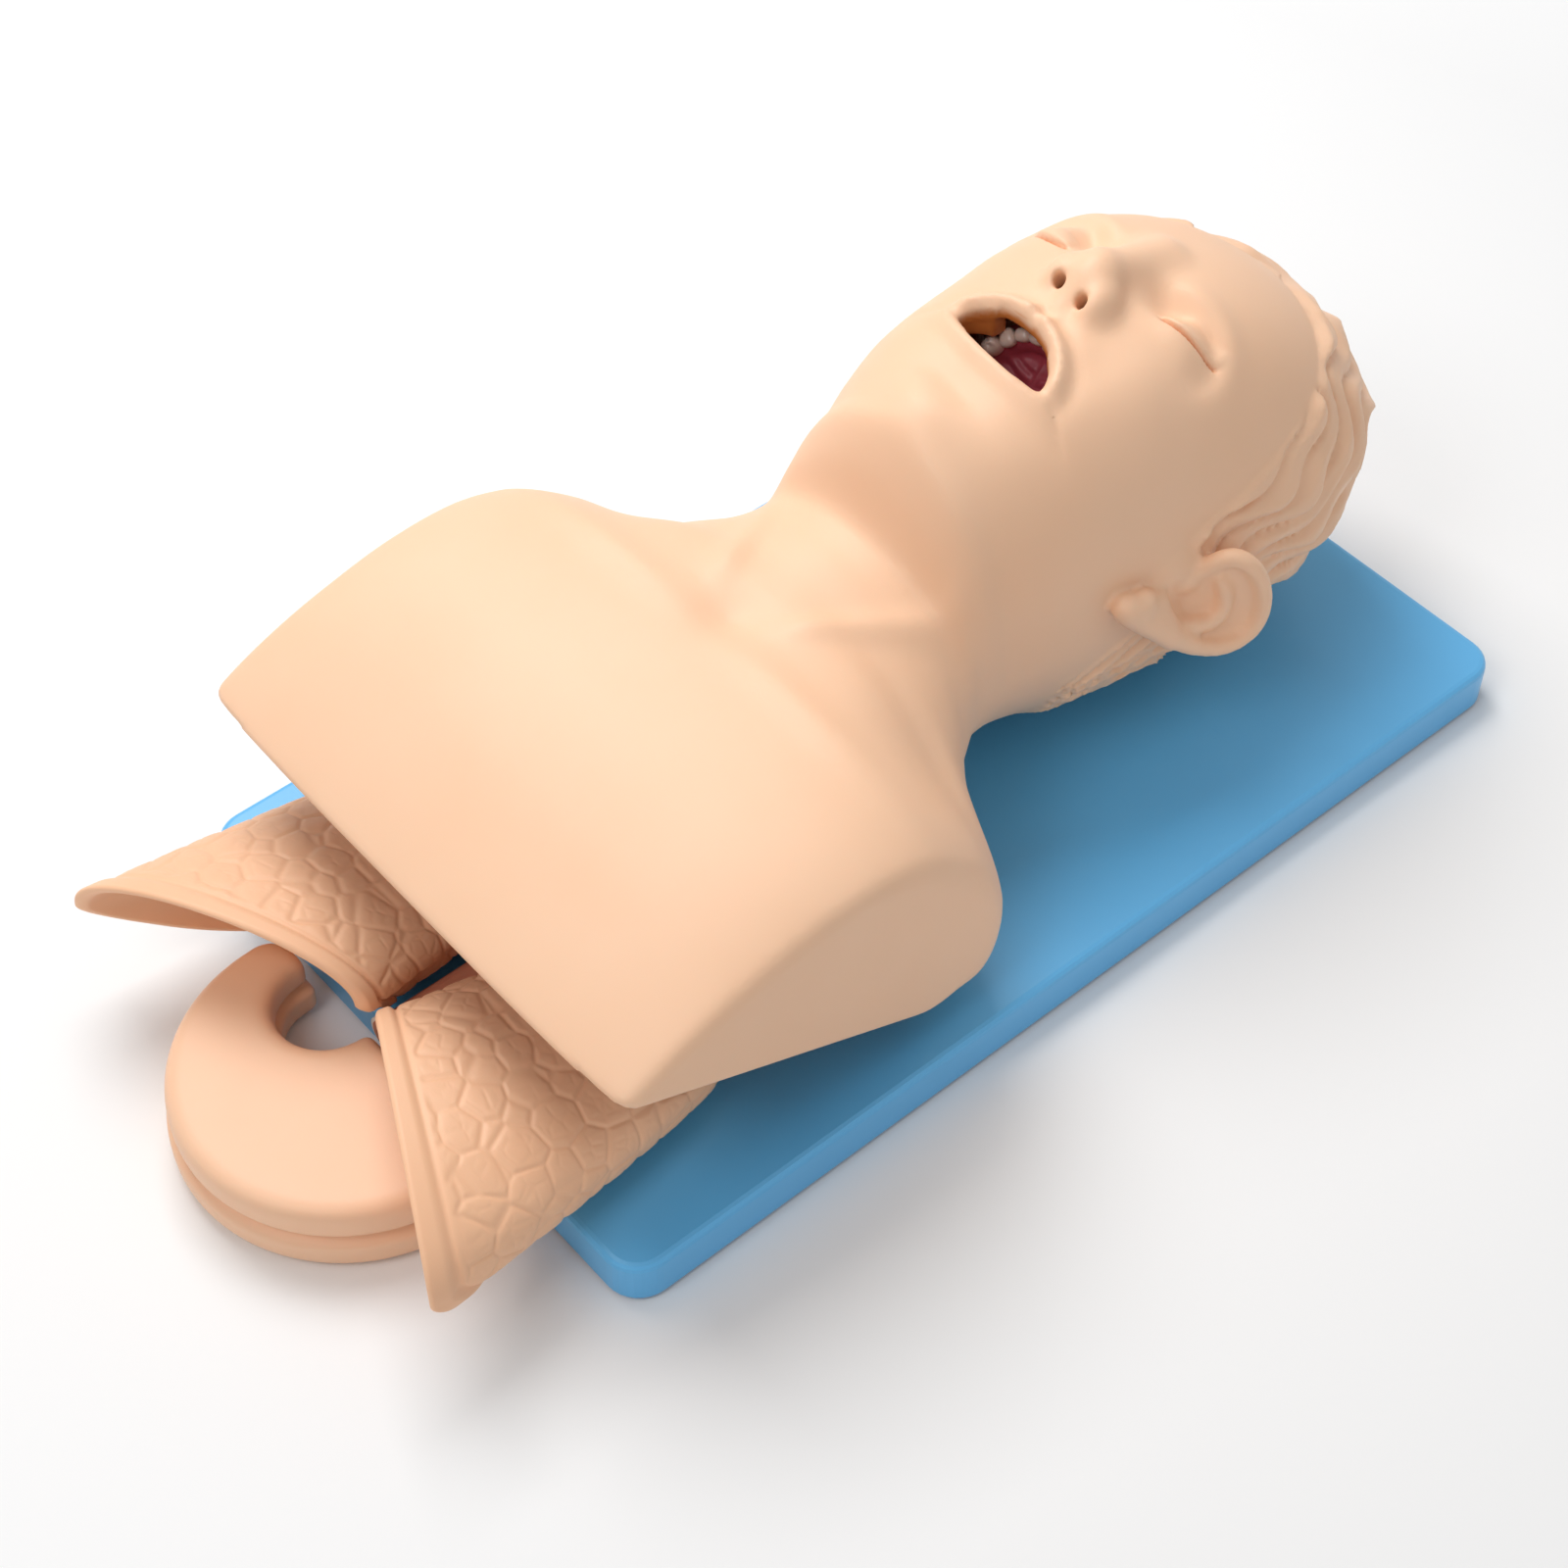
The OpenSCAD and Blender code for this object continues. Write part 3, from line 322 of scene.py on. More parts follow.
def level_surface(axes: tuple, values: np.ndarray) -> tuple[np.ndarray, np.ndarray]:
    """Meshes the surface where a field is zero, with one point in each cell that the surface crosses.

    Each point is the mean of the places where the field is zero on the cell's twelve edges, and each
    grid edge that the surface crosses gives the four-sided face between its four cells.

    Args:
        axes: the grid's coordinates along x, y and z.
        values: the field on the grid, negative inside the solid.

    Returns:
        Points and the four corners of each face, with the faces pointing outwards.
    """
    low = values < 0
    nx, ny, nz = values.shape
    count = np.zeros((nx - 1, ny - 1, nz - 1), np.int8)
    for i, j, k in product((0, 1), repeat=3):
        count += low[i:nx - 1 + i, j:ny - 1 + j, k:nz - 1 + k]
    cells = np.argwhere((count > 0) & (count < 8))
    number = np.full(count.shape, -1, np.int64)
    number[tuple(cells.T)] = np.arange(len(cells))
    total = np.zeros((len(cells), 3))
    hits = np.zeros(len(cells))
    corner = {}
    for step in product((0, 1), repeat=3):
        at = cells + step
        spot = np.stack([axes[d][at[:, d]] for d in range(3)], 1)
        corner[step] = (spot, values[tuple(at.T)].astype(float))
    for a, (pa, va) in corner.items():
        for d in range(3):
            if a[d]:
                continue
            pb, vb = corner[tuple(1 if e == d else a[e] for e in range(3))]
            cross = (va < 0) != (vb < 0)
            part = np.where(cross, va / np.where(cross, va - vb, 1.0), 0.0)
            total += np.where(cross[:, None], pa + part[:, None] * (pb - pa), 0.0)
            hits += cross
    points = total / hits[:, None]
    faces = []
    for d in range(3):
        u, v = (d + 1) % 3, (d + 2) % 3
        here = [slice(None)] * 3
        there = [slice(None)] * 3
        here[d], there[d] = slice(0, -1), slice(1, None)
        for e in (u, v):
            here[e] = there[e] = slice(1, -1)
        a, b = low[tuple(here)], low[tuple(there)]
        at = np.argwhere(a != b)
        rising = a[tuple(at.T)]
        at[:, [u, v]] += 1
        ring = []
        for du, dv in ((-1, -1), (0, -1), (0, 0), (-1, 0)):
            cell = at.copy()
            cell[:, u] += du
            cell[:, v] += dv
            ring.append(number[tuple(cell.T)])
        quad = np.stack(ring, 1)
        quad[~rising] = quad[~rising][:, ::-1]
        faces.append(quad)
    return points, np.concatenate(faces)


def grid_faces(rows: int, cols: int) -> np.ndarray:
    """Faces of a grid of rows and columns whose columns run round and close on themselves."""
    j, i = np.meshgrid(np.arange(rows - 1), np.arange(cols), indexing="ij")
    k, t = (i + 1) % cols, j + 1
    return np.stack([j * cols + i, j * cols + k, t * cols + k, t * cols + i], -1).reshape(-1, 4)


def make_piece(name: str, points: np.ndarray, faces: list, finish: Finish, body: str,
               stands_for: tuple[str, ...] = ()) -> bpy.types.Object:
    """Puts points and faces into a smooth-shaded piece that rides on a body.

    Args:
        name: the piece's name.
        points: its points in millimetres.
        faces: its faces as point numbers.
        finish: what it is made of.
        body: the body that carries it.
        stands_for: CAD nodes that it replaces.

    Returns:
        The object, at the origin.
    """
    mesh = bpy.data.meshes.new(name)
    mesh.from_pydata((np.asarray(points, float) * MM).tolist(), [], [list(map(int, f)) for f in faces])
    mesh.update()
    mesh.shade_smooth()
    mesh.materials.append(finish.material())
    piece = bpy.data.objects.new(name, mesh)
    bpy.context.scene.collection.objects.link(piece)
    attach(piece, body)
    if stands_for:
        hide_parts(*stands_for)
    log.info("%s: %d points, %d faces", name, len(points), len(faces))
    return piece


# The soft skin


@dataclass
class SoftSkin:
    """Head, neck and torso in one hollow vinyl moulding, lying on the board with the mouth open."""

    board_top: float
    chest_half: float = 130.0
    chest_h: float = 128.0
    neck_half: float = 60.0
    head_half: float = 79.0
    face_h: float = 187.0
    head_l: float = 254.0
    wall: float = 4.2
    rim_y: float = -66.0
    rim_slope: float = 25.5
    mouth_half: float = 26.0
    mouth_y: float = 61.0
    mouth_up: float = 16.0
    mouth_down: float = 5.5
    eye: tuple = (38.0, 126.0)
    lean: float = 0.11
    nape: tuple = (15.0, 52.0)
    axes: tuple = field(init=False)
    outer: np.ndarray = field(init=False, default=None)

    def __post_init__(self) -> None:
        """Lays out the grid, finest over the face and the ears."""
        self.axes = (
            graded([(-134, 1.9), (-108, 1.7), (-58, 1.2), (58, 1.7), (108, 1.9)], 134),
            graded([(-242, 2.2), (-48, 2.0), (40, 1.3), (115, 0.65), (134, 1.3), (196, 1.6)], 257),
            graded([(19.5, 2.1), (74, 1.6), (150, 1.3)], 228.5),
        )

    def stations(self) -> np.ndarray:
        """Rows of place along Y, half width, top, bottom, widest level, and squareness above and below."""
        n, c, h, up = self.neck_half, self.chest_half, self.head_half, self.board_top
        ch, fh, hl = self.chest_h, self.face_h, self.head_l
        torso = [(-262, 1.32, 0.55, -12, 18, 4.6, 3), (-240, 1.29, 0.66, -10, 22, 4.6, 3),
                 (-220, 1.27, 0.76, -8, 28, 4.6, 3), (-200, 1.23, 0.84, -6, 34, 4.6, 3),
                 (-175, 1.18, 0.92, -4, 38, 4.6, 3.2), (-145, 1.15, 0.98, -2, 40, 4.8, 3.4),
                 (-115, 1.14, 1, -1, 42, 4.6, 3.4), (-90, 1.12, 1, 0.4, 44, 3.7, 3.2),
                 (-70, 1.08, 0.99, 0.4, 44, 2.8, 3.2), (-55, 1.04, 0.99, 0.4, 44, 2.2, 3.4),
                 (-42, 0.94, 0.99, 0.4, 46, 1.7, 2.5), (-28, 0.69, 1, 8, 52, 1.8, 2.2)]
        rows = [(y, w * c, t * ch, b, m, et, eb) for y, w, t, b, m, et, eb in torso]
        rows += [(-16, 1.2 * n, 1.01 * ch, 16, 60, 2, 2.1), (-8, 1.1 * n, 1.05 * ch, 19, 64, 2.1, 2)]
        head = [(0, 1.03 * n, 0.83, 20, 69, 2.2, 2), (0.03, 1.02 * n, 0.9, 20, 72, 2.3, 2),
                (0.065, 0.78 * h, 0.925, 18, 75, 2.3, 2), (0.12, 0.83 * h, 0.955, 14, 80, 2.4, 2),
                (0.2, 0.9 * h, 0.985, 8, 84, 2.45, 2.1), (0.3, 0.94 * h, 1, 3.5, 86, 2.45, 2.1),
                (0.4, 0.97 * h, 1, 0.5, 87, 2.4, 2.1), (0.51, h, 0.995, 0.5, 86, 2.4, 2.1),
                (0.61, h, 0.975, 1.5, 84, 2.4, 2.1), (0.69, 0.99 * h, 0.93, 7, 83, 2.3, 2.1),
                (0.75, 0.95 * h, 0.88, 14, 82, 2.2, 2.1), (0.81, 0.88 * h, 0.81, 23, 81, 2.1, 2.1),
                (0.87, 0.77 * h, 0.725, 34, 81, 2, 2), (0.925, 0.6 * h, 0.625, 48, 81, 2, 2),
                (0.965, 0.42 * h, 0.54, 61, 81, 2, 2), (0.992, 0.2 * h, 0.475, 73, 81, 2, 2)]
        rows += [(f * hl, w, t * fh, b, m, et, eb) for f, w, t, b, m, et, eb in head]
        table = np.array(rows, float)
        table[:, 2:5] += up
        return table

    def section(self, y: np.ndarray) -> np.ndarray:
        """Reads the stations at y along cubics that keep the slope from one neighbour to the other.

        Args:
            y: places along the body.

        Returns:
            One row of the stations' columns for each place.
        """
        t = self.stations()
        slope = np.empty_like(t)
        slope[1:-1] = (t[2:] - t[:-2]) / (t[2:, :1] - t[:-2, :1])
        slope[0] = (t[1] - t[0]) / (t[1, 0] - t[0, 0])
        slope[-1] = (t[-1] - t[-2]) / (t[-1, 0] - t[-2, 0])
        i = np.clip(np.searchsorted(t[:, 0], y) - 1, 0, len(t) - 2)
        h = (t[i + 1, 0] - t[i, 0])[:, None]
        u = np.clip((y - t[i, 0])[:, None] / h, 0, 1)
        return ((2 * u ** 3 - 3 * u ** 2 + 1) * t[i] + (u ** 3 - 2 * u ** 2 + u) * h * slope[i]
                + (3 * u ** 2 - 2 * u ** 3) * t[i + 1] + (u ** 3 - u ** 2) * h * slope[i + 1])

    def mouth_distance(self, x: np.ndarray, y: np.ndarray) -> np.ndarray:
        """Distance in plan to the mouth's outline, an arch above a flatter lower lip; negative inside."""
        y = y + self.lean * x
        height = np.where(y > self.mouth_y, self.mouth_up, self.mouth_down)
        return ellipsoid((x, y - self.mouth_y, 0 * x), (0, 0, 0), (self.mouth_half, height, 1.0))

    def relief(self, x: np.ndarray, y: np.ndarray) -> np.ndarray:
        """Height of the soft forms on the upper side: collar bones, chin, lips, cheeks, brow and lids."""
        a = np.abs(x)
        m = self.mouth_distance(x, y)
        y = y + self.lean * x * ease(y / 30)
        ex, ey = self.eye
        rho = np.hypot((a - ex) * 0.95, y - ey)
        turn = np.arctan2(y - ey, a - ex)
        over = ease((turn + 0.9) / 0.9) * ease((2.9 - turn) / 0.7)
        upper, lower = ease((y - self.mouth_y + 2) / 8), ease((self.mouth_y + 2 - y) / 6)
        h = -9 * hump(a, y, 92, -50, 24, 17) - 4 * hump(a, y, 0, -74, 14, 12)
        h += 2.5 * hump(a, y, 60, -84, 46, 8) + 4.5 * hump(a, y, 0, 0.07 * self.head_l, 18, 12)
        h += 2.4 * np.exp(-((a - 22 - 0.5 * (y + 60)) / 7) ** 2) * ease((y + 72) / 20) * ease((18 - y) / 20)
        h += -3 * hump(a, y, 0, 38, 22, 7)
        h += -6.5 * hump(a, y, 23, 132, 9, 9) + 3.2 * hump(a, y, ex + 1, ey - 1, 13, 8)
        h += 2.2 * over * np.exp(-((rho - 22) / 6.5) ** 2) - 2.2 * over * np.exp(-((rho - 14) / 4.5) ** 2)
        h += 3 * hump(a, y, 50, 103, 17, 16) - 1.5 * hump(a, y, 30, 84, 9, 14)
        h += 3.6 * upper * np.exp(-((m - 3.6) / 3.8) ** 2) + 1.8 * lower * np.exp(-((m - 3) / 3.2) ** 2)
        h += -0.9 * np.exp(-((m - 10) / 3.5) ** 2)
        h += -1.4 * hump(x, y, 0, 83, 3, 7) + 0.8 * hump(a, y, 5, 82, 2.5, 8)
        return h

    def lid_line(self, a: np.ndarray, y: np.ndarray) -> np.ndarray:
        """The closed lids: the upper one stands over the lower along a slit, with a crease above it."""
        t = np.clip((a - 26) / 26, 0, 1)
        slit = 122.5 + 6.5 * t ** 1.4 - 1.6 * np.sin(math.pi * t)
        there = ease((a - 25) / 3) * ease((53 - a) / 3)
        d = y - slit
        step = 1.5 * ease((d + 0.3) / 0.9) * np.exp(-(np.maximum(d, 0) / 7) ** 2)
        cut = -3.8 * np.exp(-((d + 0.3) / 0.75) ** 2)
        crease = -0.5 * np.exp(-((d - 9 - 2 * np.sin(math.pi * t)) / 2.6) ** 2)
        return there * (step + cut + crease)

    def hair(self, x: np.ndarray, y: np.ndarray, z: np.ndarray) -> np.ndarray:
        """Locks that fan out from the nape.

        A lock is the size of the sine of the angle about the nape, after two slow waves have bent it.
        Finer strands are the same at a third of the pitch. Both grow with the way from the nape.

        Args:
            x: places across the head.
            y: places along it.
            z: heights.

        Returns:
            The relief in millimetres, nought outside the hairline.
        """
        ny, nz = self.nape
        line = 137 + 0.33 * (y - 98)
        front = 38 + 60 * ease((z - 80) / 32)
        mask = ease((line - z) / 5) * ease((y - front) / 9) * ease((z - 23) / 14)
        rho, phi = np.hypot(y - ny, z - nz), np.arctan2(z - nz, y - ny)
        bent = phi + 0.055 * np.sin(rho / 14 + 2.1 * np.sin(3 * phi))
        bent = bent + 0.028 * np.sin(rho / 7.3 - x / 9 + 4 * phi)
        turns = bent / 0.09 + 0.35 * np.sin(x / 13)
        lock = np.abs(np.sin(turns * math.pi)) ** 0.6
        own = 0.78 + 0.22 * np.sin(rho / 8 + 2.4 * np.floor(turns))
        strand = np.abs(np.sin(bent * math.pi / 0.035 + rho / 30)) ** 0.8
        deep = np.minimum(6.2, 2.9 + 0.03 * rho) * (1 - 0.7 * ease((y - 232) / 16))
        return mask * (deep * lock * own + 0.8 * strand - 2.1)

    def nose(self, p: tuple, skin: np.ndarray) -> np.ndarray:
        """Adds the nose to the skin's field and bores the nostrils."""
        x, y, z = p
        y = y + 1.5 * self.lean * x
        p, q = (x, y, z), (np.abs(x), y, z)
        up = self.board_top - BOARD_H
        out = smooth_min(skin, rod(p, (0, 149, 202 + up), (0, 115, 213.5 + up), 6, 8.5), 12)
        out = smooth_min(out, ellipsoid(p, (0, 110, 213 + up), (9, 9.5, 9)), 8)
        out = smooth_min(out, ellipsoid(q, (11.5, 104, 209 + up), (6.5, 9, 9)), 8)
        out = smooth_min(out, rod(p, (0, 92, 207 + up), (0, 106, 214 + up), 3.2, 4.5), 5)
        bore = rod(q, (7.3, 93, 222 + up), (7.5, 106, 200 + up), 3.1, 2.9)
        return smooth_max(out, -bore, 1.6)

    def ear(self, p: tuple) -> np.ndarray:
        """The left ear: a rolled rim round a dished plate that leans out from the head, with its folds.

        Args:
            p: x, y and z of the grid points near the ear.

        Returns:
            Distance to the ear.
        """
        up = self.board_top - BOARD_H
        knots = np.array([(78, 97, 115), (82, 103, 123), (88, 109, 129), (93, 113.5, 127.5),
                          (96.5, 118, 120), (98.5, 121, 109), (99, 121.5, 98), (98.5, 118.5, 90),
                          (97, 112, 85.5), (94.5, 104, 85), (91, 94, 89), (87, 83, 98), (83, 73, 108),
                          (79.5, 65, 117), (77.5, 62, 123)], float)
        knots[:, 2] += up
        t = np.linspace(0, len(knots) - 1, 46)
        rim = np.stack([np.interp(t, np.arange(len(knots)), c) for c in knots.T], 1)
        rim[1:-1] = (rim[:-2] + 2 * rim[1:-1] + rim[2:]) / 4
        rim[1:-1] = (rim[:-2] + 2 * rim[1:-1] + rim[2:]) / 4
        radii = np.interp(t, [0, 2, 8, 11, 13, 14], [3.0, 3.9, 3.4, 3.8, 5.0, 4.6])
        bowl, low = np.array([74, 93, 110 + up]), np.array([78, 80, 114 + up])
        back = rim - (1.6, -0.5, 1.0)
        out = rod(p, rim[0], rim[1], radii[0], radii[1])
        for a, b, ra, rb in zip(rim[1:-1], rim[2:], radii[1:], radii[2:]):
            out = np.minimum(out, rod(p, a, b, ra, rb))
        plate = panel(p, bowl, low, back[33], 1.8)
        for i in range(3, 33):
            plate = np.minimum(plate, panel(p, bowl, back[i], back[i + 1], 1.6))
        for i in range(33, 43):
            plate = smooth_min(plate, panel(p, low, rim[i], rim[i + 1], 2.8), 1)
        out = smooth_min(out, plate, 2.5)
        fold = [bowl + 0.56 * (r - bowl) + (2.0, -0.6, 0.5) for r in rim[12:36:3]]
        for a, b in zip(fold, fold[1:]):
            out = smooth_min(out, rod(p, a, b, 2.0, 2.0), 4)
        out = smooth_min(out, rod(p, rim[0], bowl + (1, -2, 2), 2.8, 1.5), 4)
        top = [(78, 63, 122 + up), (79, 71, 121.5 + up), (78, 80, 117 + up)]
        lobe = smooth_min(rod(p, top[0], top[1], 4.8, 4.8), rod(p, top[1], top[2], 4.8, 3.2), 2)
        lobe = smooth_min(lobe, panel(p, top[1], top[2], rim[36], 3.2), 3)
        return smooth_min(out, lobe, 5)

    def shell(self) -> np.ndarray:
        """Works out the whole field: outer skin, hollow, rim, mouth, nose, ears and hair.

        Each slice along Y is a rounded square, the sum of both offsets to a power. It is divided by its
        slope to give a distance, from which the relief is taken. The hollow is the same surface drawn in
        by the wall, and is taken away like the mouth and all that lies past the cut at the waist.

        Returns:
            The field on the grid, negative in the vinyl.
        """
        xs, ys, zs = self.axes
        x, y, z = xs[:, None, None], ys[None, :, None], zs[None, None, :]
        hw, top, bottom, mid, et, eb = self.section(ys)[:, 1:].T[:, None, :, None]
        rise = np.where(z >= mid, (z - mid) / (top - mid), (mid - z) / (mid - bottom))
        e = np.where(z >= mid, et, eb)
        level = ((np.abs(x) / hw) ** e + rise ** e) ** (1 / e) - 1
        gx, gy, gz = np.gradient(level, xs, ys, zs)
        steep = np.sqrt(gx ** 2 + gy ** 2 + gz ** 2) + ACROSS
        base = level / steep
        upward = ease(1.6 * np.where(z >= mid, rise, 0)) * np.clip(gz / steep, 0, 1)
        forms = self.relief(x[:, :, 0], y[:, :, 0])[:, :, None]
        lids = self.lid_line(np.abs(x[:, :, 0]), y[:, :, 0] + 0 * x[:, :, 0])[:, :, None]
        del level, gx, gy, gz, steep, rise, e
        outer = base - upward * (forms + lids)
        side = np.abs(x) - (self.chest_half + 0.5)
        outer = smooth_max(outer, side + 0 * outer, 6)
        outer = smooth_max(outer, y - (self.head_l - 2.4) + 0 * outer, 9)
        outer -= self.hair(x, y, z)
        outer = self.with_nose(outer)
        outer = self.with_ears(outer)
        m = self.mouth_distance(x, y + 0 * x)
        thick = self.wall + 2.0 * np.exp(-(np.maximum(m, 0) / 7) ** 2) * ease((z - 170) / 20)
        inner = base - upward * np.minimum(forms, 0) + thick
        inner = smooth_max(inner, side + self.wall + 0 * inner, 4)
        inner = smooth_max(inner, y - (self.head_l - 10) + 0 * inner, 6)
        slope = math.radians(self.rim_slope)
        dy, dz = y - self.rim_y, z - (self.board_top + 7)
        sin, cos = math.sin(slope), math.cos(slope)
        cut = np.maximum(dy * sin + dz * cos, dy * cos - dz * sin)
        solid = smooth_max(outer, -cut + 0 * outer, 5)
        hole = np.maximum(m, 150 - z)
        solid = smooth_max(solid, -hole, 4.5)
        self.outer = outer
        lining = np.maximum(np.maximum(-m, m - 6), np.maximum(191 - z, 17 - np.abs(x)))
        return smooth_min(smooth_max(solid, -inner, 1.2), np.maximum(lining, outer + 3), 3)

    def window(self, box: tuple) -> tuple:
        """Slices of the grid that cover a box of (low, high) along each axis."""
        return tuple(slice(np.searchsorted(a, lo), np.searchsorted(a, hi))
                     for a, (lo, hi) in zip(self.axes, box))

    def spots(self, part: tuple, flip: float = 1.0) -> tuple:
        """Grid points of a window as three arrays that spread over each other, with x times flip."""
        xs, ys, zs = (a[s] for a, s in zip(self.axes, part))
        return flip * xs[:, None, None], ys[None, :, None], zs[None, None, :]

    def with_nose(self, outer: np.ndarray) -> np.ndarray:
        """Puts the nose into its part of the field."""
        part = self.window(((-34, 34), (80, 168), (180, 229)))
        outer[part] = self.nose(self.spots(part), outer[part])
        return outer

    def with_ears(self, outer: np.ndarray) -> np.ndarray:
        """Blends both ears into the field; the right one is the left one seen through the middle."""
        root = (73, 93, 121 + self.board_top - BOARD_H)
        for flip, xs in ((1, (60, 118)), (-1, (-118, -60))):
            part = self.window((xs, (40, 146), (66, 150)))
            spots = self.spots(part, flip)
            skin = smooth_min(outer[part], ellipsoid(spots, root, (6, 9, 6)), 9)
            outer[part] = smooth_min(skin, self.ear(spots), 3.5)
        return outer

    def build(self) -> bpy.types.Object:
        """Meshes the field, paints shade and glow into its inner attribute and thins the flat stretches of
        the mesh.
        """
        points, faces = level_surface(self.axes, self.shell())
        piece = make_piece("soft_skin", points, faces, SKIN, "manikin", ("body_skin",))
        at = tuple(np.clip(np.searchsorted(a, points[:, i]), 0, len(a) - 1) for i, a in enumerate(self.axes))
        # Painted shade and glow: the inner attribute is high on the inside of the shell and carries the
        # painted darker orange tone
        inner = piece.data.attributes.new("inner", "FLOAT", "POINT")
        depth = ease((-self.outer[at] - 2.2) / 2.5)
        # Painted shade in the eye slits: the deeper the cut along the lids, the more of the darker orange
        # tone, up to 0.6
        lids = self.lid_line(np.abs(points[:, 0]), points[:, 1])
        depth = np.maximum(depth, np.where(points[:, 2] > 150, np.clip(-lids / 5, 0, 0.6), 0))
        inner.data.foreach_set("value", depth.astype(np.float32))
        tidy = piece.modifiers.new("thin the flat stretches", "DECIMATE")
        tidy.ratio = min(1.0, SKIN_FACES / max(1, len(faces)))
        return piece


# Lungs and stomach


def cell_edges(points: np.ndarray, size: float) -> np.ndarray:
    """Distance from each point to the border between two cells of a jittered lattice.

    Args:
        points: places in millimetres.
        size: mean width of a cell.

    Returns:
        Half the gap between the distances to the nearest and the second nearest seed.
    """
    home = np.floor(points / size)
    stir = np.array([[12.9898, 39.3468, 73.1560], [78.233, 11.135, 52.235], [37.719, 83.155, 9.151]])
    best = np.full(len(points), 1e9)
    second = best.copy()
    for step in product((-1, 0, 1), repeat=3):
        cell = home + step
        jitter = np.modf(np.abs(np.sin(cell @ stir) * 43758.5453))[0]
        d = np.linalg.norm((cell + 0.1 + 0.8 * jitter) * size - points, axis=1)
        second = np.minimum(second, np.maximum(best, d))
        best = np.minimum(best, d)
    return (second - best) / 2


